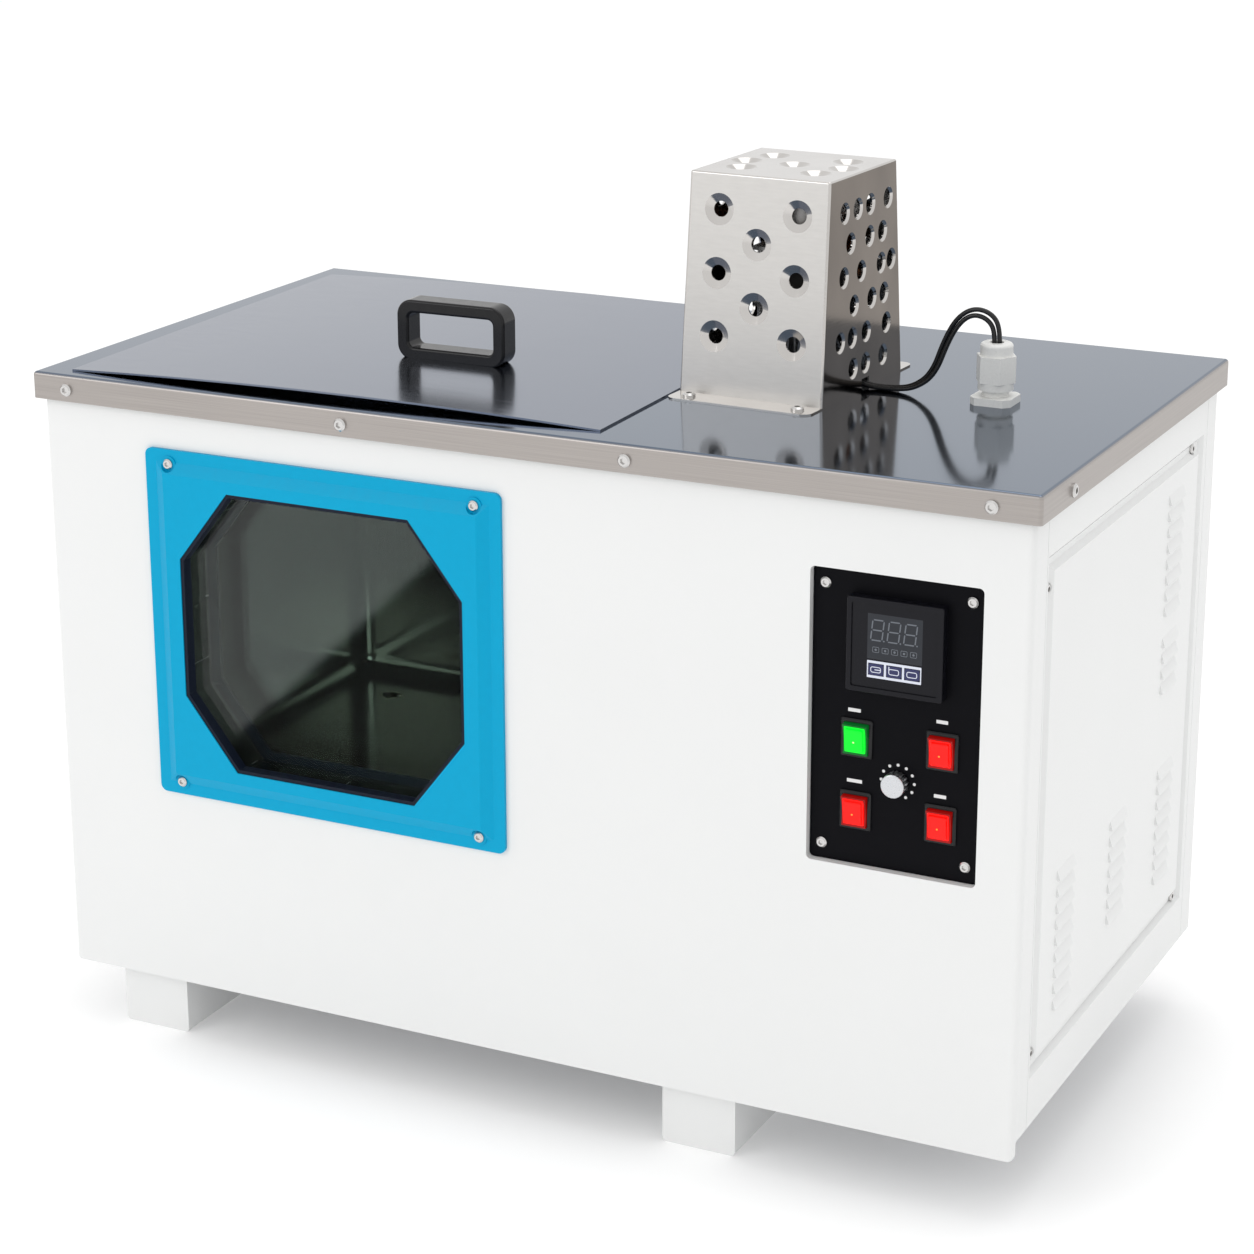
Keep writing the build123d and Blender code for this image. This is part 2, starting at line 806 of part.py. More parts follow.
def tank_bearers():
    """Two hat section channels that carry the jacket and the tank off the floor pan."""
    height = jacket_under - pan_top
    half = bearer_width / 2
    foot = half + bearer_foot
    side = make_face(Polyline((-foot, 0), (-foot, sheet), (-half, sheet), (-half, height), (half, height),
                              (half, sheet), (foot, sheet), (foot, 0), (half - sheet, 0),
                              (half - sheet, height - sheet), (sheet - half, height - sheet),
                              (sheet - half, 0), close=True))
    bearers = []
    for x in (tank_inner_left + bearer_inset, tank_inner_right - bearer_inset):
        bearers.append(facing_front(Pos(x, pan_top) * side, tank_outer_front, tank_outer_back - tank_outer_front))
    return Compound(children=bearers)


# Double window
def window_ring(inner_grow, outer_grow, y, thickness):
    """Ring that follows the window's outline between two distances from it."""
    return facing_front(window_outline(outer_grow) - window_outline(inner_grow), y, thickness)


def outer_gasket():
    """Rubber ring between panel and pane whose lining shows inside the bezel."""
    lining_front = front_face - bezel_flange - bezel_rise + gasket_reveal
    ring = window_ring(-gasket_lining, gasket_flange, front_inside, gasket_thickness)
    return ring + window_ring(-gasket_lining, 0, lining_front, outer_gasket_back - lining_front)


def inner_gasket():
    """Rubber ring between the inner pane and the tank wall."""
    ring = window_ring(-gasket_lining, gasket_flange, inner_gasket_front, gasket_thickness)
    return ring + window_ring(-gasket_lining, 0, inner_gasket_front, gasket_thickness + stainless)


def pane(y):
    """Eight-sided glass pane, wider than the window all round."""
    return facing_front(window_outline(gasket_flange), y, glass)


def window_collar():
    """Flanged tunnel that holds the two panes apart."""
    inner = collar_clearance
    length = inner_pane_front - outer_pane_back
    collar = window_ring(inner, inner + collar_wall, outer_pane_back, length)
    collar += window_ring(inner, gasket_flange, outer_pane_back, collar_wall)
    return collar + window_ring(inner, gasket_flange, inner_pane_front - collar_wall, collar_wall)


def window_bezel():
    """Painted bezel: thin flange, bevelled field and round seats for its screws."""
    centre = Pos(window_centre_x, window_centre_z)
    flange_front = front_face - bezel_flange
    bezel = facing_front(centre * RectangleRounded(bezel_width, bezel_height, bezel_corner),
                         flange_front, bezel_flange)
    outer = Rectangle(bezel_width - 2 * bezel_border, bezel_height - 2 * bezel_border)
    step = bezel_border + bezel_slope
    inner = Rectangle(bezel_width - 2 * step, bezel_height - 2 * step)
    bezel += loft([Pos(0, flange_front, 0) * (Plane.XZ * (centre * outer)),
                   Pos(0, flange_front - bezel_rise, 0) * (Plane.XZ * (centre * inner))])
    bezel -= facing_front(window_outline(), -plate_width, 2 * plate_width)
    for seat in bezel_screw_places():
        bezel += rod((seat[0], flange_front, seat[2]), (0, -1, 0), bezel_seat_radius, bezel_seat_rise)
        bezel -= rod(seat, (0, -1, 0), bezel_seat_radius, bezel_rise)
        bezel -= screw_hole(seat, (0, -1, 0), small_shank_radius, screw_length)
    return bezel


# Bulkhead between the tank and the electrical space
def bulkhead():
    """Sheet with a folded foot, from the floor pan nearly to the top plate."""
    wall = block(bulkhead_x, bulkhead_x + sheet, front_inside + pan_thickness, back_inside - pan_thickness,
                 pan_top, plate_under - bulkhead_gap)
    return wall + block(bulkhead_x, bulkhead_x + bulkhead_foot, front_inside + panel_return,
                        back_inside - panel_return, pan_top, pan_top + sheet)


# Heater and probe, fitted through the tank's right wall
def heater():
    """Two nested hairpins on a flange with a closed terminal cap."""
    z = tank_floor + heater_height
    place = Pos(heater_centre_y, z)
    inner_end = tank_outer_right + heater_flange_thickness / 2
    far_end = tank_inner_right - heater_reach
    flange = RectangleRounded(*heater_flange_size, heater_flange_corner)
    cap = RectangleRounded(heater_flange_size[0] - 2 * heater_cap_inset,
                           heater_flange_size[1] - 2 * heater_cap_inset, heater_flange_corner - heater_cap_inset)
    flange_out = tank_outer_right + heater_flange_thickness
    body = facing_right(place * flange, flange_out, heater_flange_thickness)
    body += facing_right(place * cap, flange_out + heater_cap_depth, heater_cap_depth)
    for spacing in heater_leg_spacings:
        near = heater_centre_y - spacing / 2
        far = heater_centre_y + spacing / 2
        points = ((inner_end, near, z), (far_end, near, z), (far_end, far, z), (inner_end, far, z))
        body += tube_along(points, [heater_bend, heater_bend], heater_tube_radius)
    return body


def temperature_probe():
    """Closed tube with a hexagon outside the tank wall."""
    tip = tank_inner_right - probe_reach
    probe = rod((tip, probe_y, probe_z), (1, 0, 0), probe_radius, tank_outer_right - tip + probe_nut_depth)
    probe = fillet(probe.edges().sort_by(Axis.X)[0], probe_radius * 0.9)
    nut = Pos(probe_y, probe_z) * RegularPolygon(probe_nut, 6)
    return probe + facing_right(nut, tank_outer_right + probe_nut_depth * 0.6, probe_nut_depth * 0.6)


# Stirrer motor, drawn on the guard's own centre and turned with it
guard_place = Pos(stirrer_x, stirrer_y, plate_top) * Rot(0, 0, guard_turn)
stator_bottom = motor_lift + bridge_thickness + bridge_gap
stator_top = stator_bottom + stator_size[2]
bridge_top = stator_top + bridge_gap + bridge_thickness
stator_back = stator_offset + stator_size[1] / 2
leg_front = stator_back - leg_thickness


def centred_block(width, y0, y1, z0, z1):
    """Block centred on the motor's middle plane."""
    return block(-width / 2, width / 2, y0, y1, z0, z1)


def pillars(radius, z0, z1):
    """The four pillars, or the holes for them."""
    half_x = pillar_spacing[0] / 2
    half_y = pillar_spacing[1] / 2
    return [rod((sx * half_x, sy * half_y, z0), (0, 0, 1), radius, z1 - z0)
            for sx in (-1, 1) for sy in (-1, 1)]


def motor_frame():
    """Two bridges with shaft bushes on four pillars."""
    width = pillar_spacing[0] + 4 * pillar_radius
    half_depth = pillar_spacing[1] / 2 + 2 * pillar_radius
    bridge_bottom = bridge_top - bridge_thickness
    frame = upright_block(-width / 2, width / 2, -half_depth, half_depth, motor_lift,
                          motor_lift + bridge_thickness, pillar_radius)
    frame += upright_block(-width / 2, width / 2, -half_depth, half_depth, bridge_bottom,
                           bridge_top, pillar_radius)
    frame += rod((0, 0, motor_lift), (0, 0, 1), bush_radius, bush_height)
    frame += rod((0, 0, bridge_top - bush_height), (0, 0, 1), bush_radius, bush_height)
    frame += pillars(pillar_radius, 0, bridge_top)
    frame -= rod((0, 0, 0), (0, 0, 1), shaft_radius + fit_gap, bridge_top + 1)
    return guard_place * frame


def motor_stator():
    """Laminated core with a rotor bore, a winding window and holes for the pillars."""
    stator = centred_block(stator_size[0], stator_back - stator_size[1], stator_back, stator_bottom, stator_top)
    stator -= centred_block(coil_window_width, coil_window_front, leg_front, stator_bottom - 1, stator_top + 1)
    stator -= rod((0, 0, stator_bottom - 1), (0, 0, 1), rotor_radius + air_gap, stator_size[2] + 2)
    stator -= pillars(pillar_radius + fit_gap, stator_bottom - 1, stator_top + 1)
    return guard_place * stator


def motor_coil():
    """Winding round the core's back leg, its corners rounded."""
    width = coil_window_width - 2 * coil_side_gap
    front = leg_front - coil_build
    back = stator_back + coil_build
    coil = centred_block(width, front, back, stator_bottom - coil_build, stator_top + coil_build)
    coil = fillet(coil.edges().filter_by(Axis.X), coil_build * 0.7)
    coil -= centred_block(width + 2, leg_front - coil_gap, stator_back + coil_gap,
                          stator_bottom - coil_gap, stator_top + coil_gap)
    return guard_place * coil


def stirrer_shaft():
    """Shaft with the motor's rotor on it."""
    shaft = rod((0, 0, shaft_bottom - plate_top), (0, 0, 1), shaft_radius,
                plate_top - shaft_bottom + bridge_top + shaft_top_reach)
    shaft += rod((0, 0, stator_bottom), (0, 0, 1), rotor_radius, stator_size[2])
    return guard_place * shaft


def impeller():
    """Hub with four pitched blades at the lower end of the shaft."""
    upward = (Align.CENTER, Align.CENTER, Align.MIN)
    middle = hub_height / 2
    propeller = Cylinder(hub_radius, hub_height, align=upward)
    outline = Pos((hub_radius + blade_reach) / 2, 0) * RectangleRounded(
        blade_reach - hub_radius + 4, blade_width, blade_corner)
    blade = Pos(0, 0, -blade_thickness / 2) * extrude(outline, blade_thickness)
    for number in range(blade_count):
        propeller += Pos(0, 0, middle) * Rot(0, 0, number * 360 / blade_count) * Rot(blade_pitch, 0, 0) * blade
    propeller -= Pos(0, 0, -hub_height) * Cylinder(shaft_radius, 3 * hub_height, align=upward)
    return Pos(stirrer_x, stirrer_y, shaft_bottom) * propeller


# Perforated motor guard
def guard_half_depth(z):
    """Half the guard's depth at a height, as its front and back lean inwards."""
    return (guard_depth - (guard_depth - guard_top_depth) * z / guard_height) / 2


def guard_half_width(z):
    """Half the guard's width at a height."""
    return (guard_width - (guard_width - guard_top_width) * z / guard_height) / 2


def pressed_hole(point, outward, rim_radius, hole_radius, depth):
    """A cup pressed inwards and the material that its hole takes away."""
    inward = Plane(origin=point, z_dir=Vector(outward) * -1)
    upward = (Align.CENTER, Align.CENTER, Align.MIN)
    funnel = Cone(rim_radius, hole_radius, depth, align=upward)
    cup = inward * (Pos(0, 0, guard_wall) * funnel)
    hole = Pos(0, 0, -1) * Cylinder(hole_radius, depth + guard_wall + 2, align=upward)
    return cup, inward * (funnel + hole)


def guard_holes():
    """Every pressed hole of the guard: front and back dimples, top dimples, side holes."""
    lean = (guard_depth - guard_top_depth) / 2
    side_lean = (guard_width - guard_top_width) / 2
    holes = []
    for row in range(dimple_rows):
        z = dimple_top - row * dimple_pitch
        for x in ((-dimple_side, dimple_side), (0.0,))[row % 2]:
            for side in (-1, 1):
                point = (x, side * guard_half_depth(z), z)
                holes.append(pressed_hole(point, (0, side * guard_height, lean),
                                          dimple_radius, dimple_hole_radius, dimple_depth))
    for x, y in top_dimples:
        holes.append(pressed_hole((x, y, guard_height), (0, 0, 1),
                                  dimple_radius, dimple_hole_radius, dimple_depth))
    for row, offsets in enumerate(side_hole_rows):
        z = side_hole_top - row * side_hole_pitch
        for y in offsets:
            for side in (-1, 1):
                point = (side * guard_half_width(z), y, z)
                holes.append(pressed_hole(point, (side * guard_height, 0, side_lean),
                                          side_hole_radius + side_rim, side_hole_radius, side_rim_depth))
    return holes


def motor_guard():
    """Tapered box with a flange in front and behind, pressed holes and a notch for the lead."""
    outer = loft([RectangleRounded(guard_width, guard_depth, guard_bend),
                  Pos(0, 0, guard_height) * RectangleRounded(guard_top_width, guard_top_depth, guard_bend)])
    outer = fillet(outer.faces().sort_by(Axis.Z)[-1].edges(), guard_bend * 0.8)
    inner = loft([Rectangle(guard_width - 2 * guard_wall, guard_depth - 2 * guard_wall),
                  Pos(0, 0, guard_height - guard_wall) * Rectangle(guard_top_width - 2 * guard_wall,
                                                                   guard_top_depth - 2 * guard_wall)])
    base = extrude(RectangleRounded(guard_width, guard_depth + 2 * guard_flange, guard_corner), guard_wall)
    guard = outer + base - inner
    holes = guard_holes()
    guard += [cup for cup, hollow in holes]
    guard -= [hollow for cup, hollow in holes]
    notch = upright_block(guard_width / 2 - 4, guard_width / 2 + 1, notch_centre - cable_notch[0] / 2,
                          notch_centre + cable_notch[0] / 2, -1, cable_notch[1], 1)
    guard -= notch
    for place in guard_screw_places():
        guard -= screw_hole(place, (0, 0, 1), screw_shank_radius, screw_length)
    return guard_place * guard


def main_screws():
    """The screws of the top plate's skirt and of the guard, the latter flush with the plate's underside."""
    screws = [main_screw(seat, out) for seat, out in skirt_screw_places()]
    screws += [guard_place * main_screw(place, (0, 0, 1), guard_wall + stainless)
               for place in guard_screw_places()]
    return Compound(children=screws)


# Cable gland and the two cores of the motor lead
def gland_body():
    """Square base, neck and collar of the gland, with its sleeve above and thread below."""
    upward = (Align.CENTER, Align.CENTER, Align.MIN)
    base = chamfer(Rectangle(gland_base_size, gland_base_size).vertices(), gland_base_cut)
    body = extrude(base, gland_base_height)
    collar_bottom = gland_base_height + gland_neck_height
    collar_top = collar_bottom + gland_collar_height
    body += Cylinder(gland_neck_radius, collar_top, align=upward)
    body += Pos(0, 0, collar_bottom) * Cylinder(gland_collar_radius, gland_collar_height, align=upward)
    body += Cylinder(gland_sleeve_radius, collar_top + gland_sleeve_height, align=upward)
    body += Pos(0, 0, -gland_thread_length) * Cylinder(gland_thread_radius, gland_thread_length, align=upward)
    body -= Pos(0, 0, -gland_thread_length) * Cylinder(
        gland_bore_radius, gland_thread_length + collar_top + gland_sleeve_height, align=upward)
    return Pos(gland_x, gland_y, plate_top) * body


def gland_nut():
    """Hexagon nut with a round cap and a shallow well where the cores leave."""
    upward = (Align.CENTER, Align.CENTER, Align.MIN)
    bottom = gland_base_height + gland_neck_height + gland_collar_height
    nut = Pos(0, 0, bottom) * extrude(RegularPolygon(gland_nut_flats / 2, 6, major_radius=False),
                                      gland_nut_height)
    cap = Cylinder(gland_cap_radius, gland_cap_height, align=upward)
    cap = fillet(cap.edges().sort_by(Axis.Z)[-1], gland_cap_height * 0.3)
    nut += Pos(0, 0, bottom + gland_nut_height) * cap
    nut -= Pos(0, 0, bottom) * Cylinder(gland_sleeve_radius, gland_sleeve_height, align=upward)
    nut -= Pos(0, 0, gland_top - gland_well) * Cylinder(gland_bore_radius, gland_well, align=upward)
    return Pos(gland_x, gland_y, plate_top) * nut


def bend_radii(points):
    """Arc radius at every corner of a route, from its shorter neighbouring run and its turn."""
    radii = []
    for before, here, after in zip(points, points[1:], points[2:]):
        run_in = Vector(here) - Vector(before)
        run_out = Vector(after) - Vector(here)
        half_turn = math.radians(run_in.get_angle(run_out)) / 2
        radii.append(bend_share * min(run_in.length, run_out.length) / math.tan(half_turn))
    return radii


def motor_lead(route):
    """One core of the lead, along its route above the top plate."""
    points = [(x, y, plate_top + z) for x, y, z in route]
    radii = bend_radii(points)
    core = tube_along(points, radii, lead_diameter / 2)
    length = core.volume / (math.pi * lead_diameter ** 2 / 4)
    print("lead length", round(length, 1), "bend radii", [round(radius, 1) for radius in radii])
    return core


# Control panel
def control_plate():
    """Flat plate that carries the controller, the switches and the speed knob."""
    outline = RectangleRounded(control_width, control_height, pocket_corner - control_clearance)
    plate = facing_front(Pos(control_centre_x, control_centre_z) * outline, control_face, control_thickness)
    body = Rectangle(controller_body + 2 * fit_gap, controller_body + 2 * fit_gap)
    plate -= facing_front(Pos(controller_x, controller_z) * body, control_face, control_thickness)
    for x, z in switch_places():
        hole = Rectangle(switch_body_width + 2 * fit_gap, switch_body_height + 2 * fit_gap)
        plate -= facing_front(Pos(x, z) * hole, control_face, control_thickness)
    plate -= rod((knob_x, control_face, knob_z), (0, 1, 0), pot_bush_radius + fit_gap, control_thickness)
    for place in control_screw_places():
        plate -= screw_hole(place, (0, -1, 0), small_shank_radius, screw_length)
    return plate


controller_front = control_face - controller_reach
controller_face = controller_front + controller_face_recess


def key_places():
    """Centres of the three keys under the display."""
    return [(controller_x + step * key_pitch, controller_z + key_row_z) for step in (-1, 0, 1)]


def controller_case():
    """Controller with a rimmed face, a display pocket, key wells and the body behind the plate."""
    centre = Pos(controller_x, controller_z)
    case = facing_front(centre * RectangleRounded(controller_width, controller_height, 2), controller_front,
                        controller_reach)
    case = fillet(case.faces().sort_by(Axis.Y)[0].edges(), 1.0)
    case += facing_front(centre * Rectangle(controller_body, controller_body), control_face, controller_body_depth)
    inset = RectangleRounded(controller_width - 2 * controller_rim, controller_height - 2 * controller_rim, 1.5)
    case -= facing_front(centre * inset, controller_front, controller_face_recess)
    case -= facing_front(centre * Pos(0, display_centre_z) * Rectangle(*display_size), controller_face,
                         display_thickness)
    well = Rectangle(key_size[0] + 2 * key_clearance, key_size[1] + 2 * key_clearance)
    for x, z in key_places():
        case -= facing_front(Pos(x, z) * well, controller_face, key_depth + key_travel + key_clearance)
    return case


def controller_display():
    centre = Pos(controller_x, controller_z + display_centre_z)
    return facing_front(centre * Rectangle(*display_size), controller_face, display_thickness)


def controller_key(x, z):
    """One key that stands a little proud of the controller's face."""
    key = facing_front(Pos(x, z) * RectangleRounded(*key_size, 1.5), controller_face - key_reach,
                       key_reach + key_depth)
    return fillet(key.faces().sort_by(Axis.Y)[0].edges(), 0.4)


# Rocker switches
switch_body_width = rocker_width + 2 * rocker_gap + 2 * switch_wall
switch_body_height = rocker_height + 2 * rocker_gap + 2 * switch_wall


def switch_places():
    """Centres of the four switches, left column first."""
    return [(x, z) for x in (switch_left_x, switch_right_x) for z in (switch_upper_z, switch_lower_z)]


def switch_housing(x, z):
    """Housing with a bevelled bezel, pivot holes and two blade terminals."""
    centre = Pos(x, z)
    bezel = facing_front(centre * RectangleRounded(switch_bezel_width, switch_bezel_height, 1.5),
                         control_face - switch_bezel_thickness, switch_bezel_thickness)
    bezel = chamfer(bezel.faces().sort_by(Axis.Y)[0].edges(), 0.8)
    body = facing_front(centre * Rectangle(switch_body_width, switch_body_height), control_face, switch_depth)
    hollow = Rectangle(rocker_width + 2 * rocker_gap, rocker_height + 2 * rocker_gap)
    housing = bezel + body - facing_front(centre * hollow, 0, control_face + switch_depth - switch_wall)
    housing -= rod((x - switch_body_width / 2, control_face, z), (1, 0, 0), rocker_pin_radius + fit_gap,
                   switch_body_width)
    for side in (-1, 1):
        blade = Pos(x, z + side * terminal_offset) * Rectangle(*terminal_blade)
        housing += facing_front(blade, control_face + switch_depth, terminal_blade_length)
    return housing


def rocker(x, z):
    """Hollow-fronted rocker on two pivot pins, its upper end standing out."""
    half = rocker_height / 2
    front = ThreePointArc((-rocker_rise, half), (-rocker_dip, 0), (-rocker_rise, -half))
    rest = Polyline((-rocker_rise, -half), (rocker_back[0], -half), (rocker_back[1], -rocker_back[2]),
                    (rocker_back[1], rocker_back[2]), (rocker_back[0], half), (-rocker_rise, half))
    body = Pos(-rocker_width / 2, 0, 0) * extrude(Plane.YZ * make_face(front + rest), rocker_width, dir=(1, 0, 0))
    body = fillet(body.faces().sort_by(Axis.Y)[0].edges().filter_by(Axis.X), 0.5)
    pin_end = rocker_width / 2 + rocker_pin_length
    body += rod((-pin_end, 0, 0), (1, 0, 0), rocker_pin_radius, 2 * pin_end)
    return Pos(x, control_face, z) * Rot(rocker_tilt, 0, 0) * body


# Speed knob on its potentiometer
def potentiometer():
    """Round body behind the plate, with a threaded bush and its nut in front."""
    pot = rod((knob_x, control_back, knob_z), (0, 1, 0), pot_radius, pot_depth)
    pot += rod((knob_x, control_face - pot_nut_thickness, knob_z), (0, 1, 0), pot_bush_radius,
               control_thickness + pot_nut_thickness)
    nut = Pos(knob_x, knob_z) * RegularPolygon(pot_nut_radius, 6)
    pot += facing_front(nut, control_face - pot_nut_thickness, pot_nut_thickness)
    pot -= rod((knob_x, 0, knob_z), (0, 1, 0), knob_stem_radius + fit_gap, pot_stem_end)
    return pot


knob_front = control_face - knob_gap - knob_height


def pot_shaft():
    """Stem that turns in the potentiometer's bush and carries the knob."""
    start = knob_front + knob_face_thickness
    return rod((knob_x, start, knob_z), (0, 1, 0), knob_stem_radius, pot_stem_end - pot_stem_play - start)


def speed_knob():
    """Fluted knob with a domed edge, hollow behind to clear the nut."""
    knob = rod((knob_x, knob_front, knob_z), (0, 1, 0), knob_radius, knob_height)
    knob = fillet(knob.edges().sort_by(Axis.Y)[0], 1.2)
    for number in range(knob_flutes):
        angle = 2 * math.pi * number / knob_flutes
        x = knob_x + knob_radius * math.cos(angle)
        z = knob_z + knob_radius * math.sin(angle)
        knob -= rod((x, knob_front + knob_skirt, z), (0, 1, 0), knob_flute_radius, knob_height)
    knob -= rod((knob_x, control_face - knob_gap - knob_hollow_depth, knob_z), (0, 1, 0),
                knob_hollow_radius, knob_hollow_depth)
    knob -= rod((knob_x, knob_front + knob_face_thickness, knob_z), (0, 1, 0), knob_stem_radius, knob_height)
    return knob


# Electrical space
def relay():
    """Heater relay on a finned cooling block that stands on the floor pan."""
    x0 = relay_left
    base = block(x0, x0 + relay_size[0], relay_front, relay_front + relay_size[1], pan_top, pan_top + relay_base)
    fin_count = 6
    pitch = relay_size[1] / fin_count
    for number in range(fin_count):
        y = relay_front + (number + 0.5) * pitch
        base += block(x0, x0 + relay_size[0], y - relay_fin / 2, y + relay_fin / 2, pan_top + relay_base,
                      pan_top + relay_size[2])
    top = pan_top + relay_size[2]
    case = upright_block(x0 + 4, x0 + relay_size[0] - 4, relay_front + 8, relay_front + relay_size[1] - 8, top,
                         top + relay_case_height, 3)
    slot = block(x0 - 1, x0 + relay_size[0] + 1, relay_front + relay_size[1] / 2 - 6,
                 relay_front + relay_size[1] / 2 + 6, top + relay_case_height / 2, top + relay_case_height + 1)
    return base + case - slot


def mains_gland():
    """Cable entry in the back panel, closed inside by a lock nut."""
    centre = Pos(mains_gland_x, mains_gland_z)
    hexagon = RegularPolygon(gland_nut_flats / 2, 6, major_radius=False)
    gland = facing_front(centre * hexagon, back_face, mains_hex)
    gland += rod((mains_gland_x, back_face + mains_hex, mains_gland_z), (0, 1, 0), gland_cap_radius, mains_cap)
    gland = fillet(gland.edges().sort_by(Axis.Y)[-1], 2.0)
    gland += rod((mains_gland_x, back_inside - mains_thread, mains_gland_z), (0, 1, 0), gland_thread_radius,
                 mains_thread + sheet)
    gland += facing_front(centre * hexagon, back_inside - mains_lock_nut, mains_lock_nut)
    return gland - rod((mains_gland_x, back_inside - mains_thread, mains_gland_z), (0, 1, 0), gland_bore_radius,
                       mains_thread + sheet + mains_hex + mains_cap)


# Drain
valve_y = back_face + valve_hex_length + valve_body_radius


def drain_pipe():
    """Pipe from the tank floor down and back through the back panel."""
    points = ((drain_x, drain_y, tank_floor), (drain_x, drain_y, drain_z), (drain_x, drain_pipe_end, drain_z))
    pipe = tube_along(points, [drain_bend], drain_pipe_radius)
    pipe -= tube_along(points, [drain_bend], drain_pipe_radius - drain_pipe_wall)
    flange = rod((drain_x, drain_y, tank_under - drain_flange), (0, 0, 1), drain_pipe_radius + drain_collar,
                 drain_flange)
    return pipe + (flange - rod((drain_x, drain_y, tank_under - drain_flange), (0, 0, 1),
                                drain_pipe_radius - drain_pipe_wall / 2, drain_flange))


def drain_valve():
    """Ball valve body with a hexagon end, a round outlet and a neck for its stem."""
    body = facing_front(Pos(drain_x, drain_z) * RegularPolygon(valve_hex / 2, 6, major_radius=False), back_face,
                        valve_hex_length)
    shell = rod((drain_x, back_face + valve_hex_length, drain_z), (0, 1, 0), valve_body_radius,
                2 * valve_body_radius)
    body += fillet(shell.edges(), 3.0)
    bore = drain_pipe_radius - drain_pipe_wall
    body += rod((drain_x, valve_y, drain_z), (0, 1, 0), drain_pipe_radius, valve_end - valve_y)
    body += rod((drain_x, valve_y, drain_z), (0, 0, 1), valve_neck_radius, valve_neck_height)
    body -= rod((drain_x, back_face, drain_z), (0, 1, 0), bore, valve_end - back_face)
    body -= rod((drain_x, back_face, drain_z), (0, 1, 0), drain_pipe_radius, drain_pipe_end - back_face)
    body -= Pos(drain_x, valve_y, drain_z) * Sphere(valve_ball_radius + fit_gap)
    return body - rod((drain_x, valve_y, drain_z), (0, 0, 1), valve_stem_radius + fit_gap, valve_neck_height + 1)


def drain_ball():
    """Drilled ball and its stem, shown closed, so that the drilling lies across the pipe."""
    ball = Sphere(valve_ball_radius) + rod((0, 0, 0), (0, 0, 1), valve_stem_radius, valve_stem_height)
    ball -= rod((-2 * valve_ball_radius, 0, 0), (1, 0, 0), drain_pipe_radius - drain_pipe_wall,
                4 * valve_ball_radius)
    return Pos(drain_x, valve_y, drain_z) * ball


def drain_lever():
    """Flat lever clamped on the stem, bent up once and rounded at the end."""
    eye = Circle(lever_width * 0.75) + Pos(lever_step / 2, 0) * Rectangle(lever_step, lever_width)
    lever = extrude(eye, lever_thickness)
    rise = lever_thickness * 2
    slope = make_face(Polyline((lever_step - 1, 0), (lever_step + rise, rise), (lever_step + rise, rise + lever_thickness),
                               (lever_step - 1, lever_thickness), close=True))
    lever += Pos(0, -lever_width / 2, 0) * extrude(Plane.XZ * slope, lever_width, dir=(0, 1, 0))
    start = lever_step + rise - 1
    end = lever_length - lever_width / 2
    grip = Pos((start + end) / 2, 0) * Rectangle(end - start, lever_width) + Pos(end, 0) * Circle(lever_width / 2)
    lever += Pos(0, 0, rise) * extrude(grip, lever_thickness)
    lever -= rod((0, 0, -1), (0, 0, 1), valve_stem_radius, lever_thickness + 2)
    return Pos(drain_x, valve_y, drain_z + valve_neck_height + lever_gap) * lever


# Lid, drawn on its own centre and turned a little on the plate
lid_place = Pos(*opening_centre, plate_top) * Rot(0, 0, lid_turn)
bow_radius = (lid_width ** 2 / 4 + lid_bow ** 2) / (2 * lid_bow)


def bow_height(x):
    """Height of the sheet's underside above the plate at a distance from its middle."""
    return math.sqrt(bow_radius ** 2 - x ** 2) - bow_radius + lid_bow


def bowed_sheet(width, depth, drop, thickness):
    """Bowed sheet of a given plan size whose underside lies drop below the lid's underside."""
    half = width / 2
    edge = bow_height(half) - drop
    middle = lid_bow - drop
    outline = ThreePointArc((-half, edge), (0, middle), (half, edge))
    outline += Polyline((half, edge), (half, edge + thickness))
    outline += ThreePointArc((half, edge + thickness), (0, middle + thickness), (-half, edge + thickness))
    outline += Polyline((-half, edge + thickness), (-half, edge))
    return facing_front(make_face(outline), -depth / 2, depth)


def lid_sheet():
    """Bowed sheet with a locating rim welded under it that drops into the opening."""
    rim_width = opening_width - 2 * locator_gap
    rim_depth = opening_depth - 2 * locator_gap
    wall = RectangleRounded(rim_width, rim_depth, opening_corner)
    wall -= RectangleRounded(rim_width - 2 * stainless, rim_depth - 2 * stainless, opening_corner - stainless)
    rim = Pos(0, 0, -locator_height) * extrude(wall, locator_height + lid_bow)
    under = bowed_sheet(lid_width, lid_depth, 2 * locator_height + stainless, 2 * locator_height + stainless)
    flange = bowed_sheet(rim_width, rim_depth, stainless, stainless)
    inner_width = rim_width - 2 * locator_flange
    inner_depth = rim_depth - 2 * locator_flange
    flange -= block(-inner_width / 2, inner_width / 2, -inner_depth / 2, inner_depth / 2, -lid_bow, 2 * lid_bow)
    lid = bowed_sheet(lid_width, lid_depth, 0, stainless) + (rim & under) + flange
    for seat, outward in handle_screw_places():
        lid -= screw_hole(seat, outward, screw_shank_radius, screw_length)
    return lid_place * lid


def handle_screw_places():
    """Seats of the handle screws on the sheet's curved underside, with their outward directions."""
    places = []
    for side in (-1, 1):
        x = handle_offset[0] + side * handle_screw_spacing / 2
        outward = (-x / bow_radius, 0, -math.sqrt(1 - (x / bow_radius) ** 2))
        places.append(((x, handle_offset[1], bow_height(x)), outward))
    return places


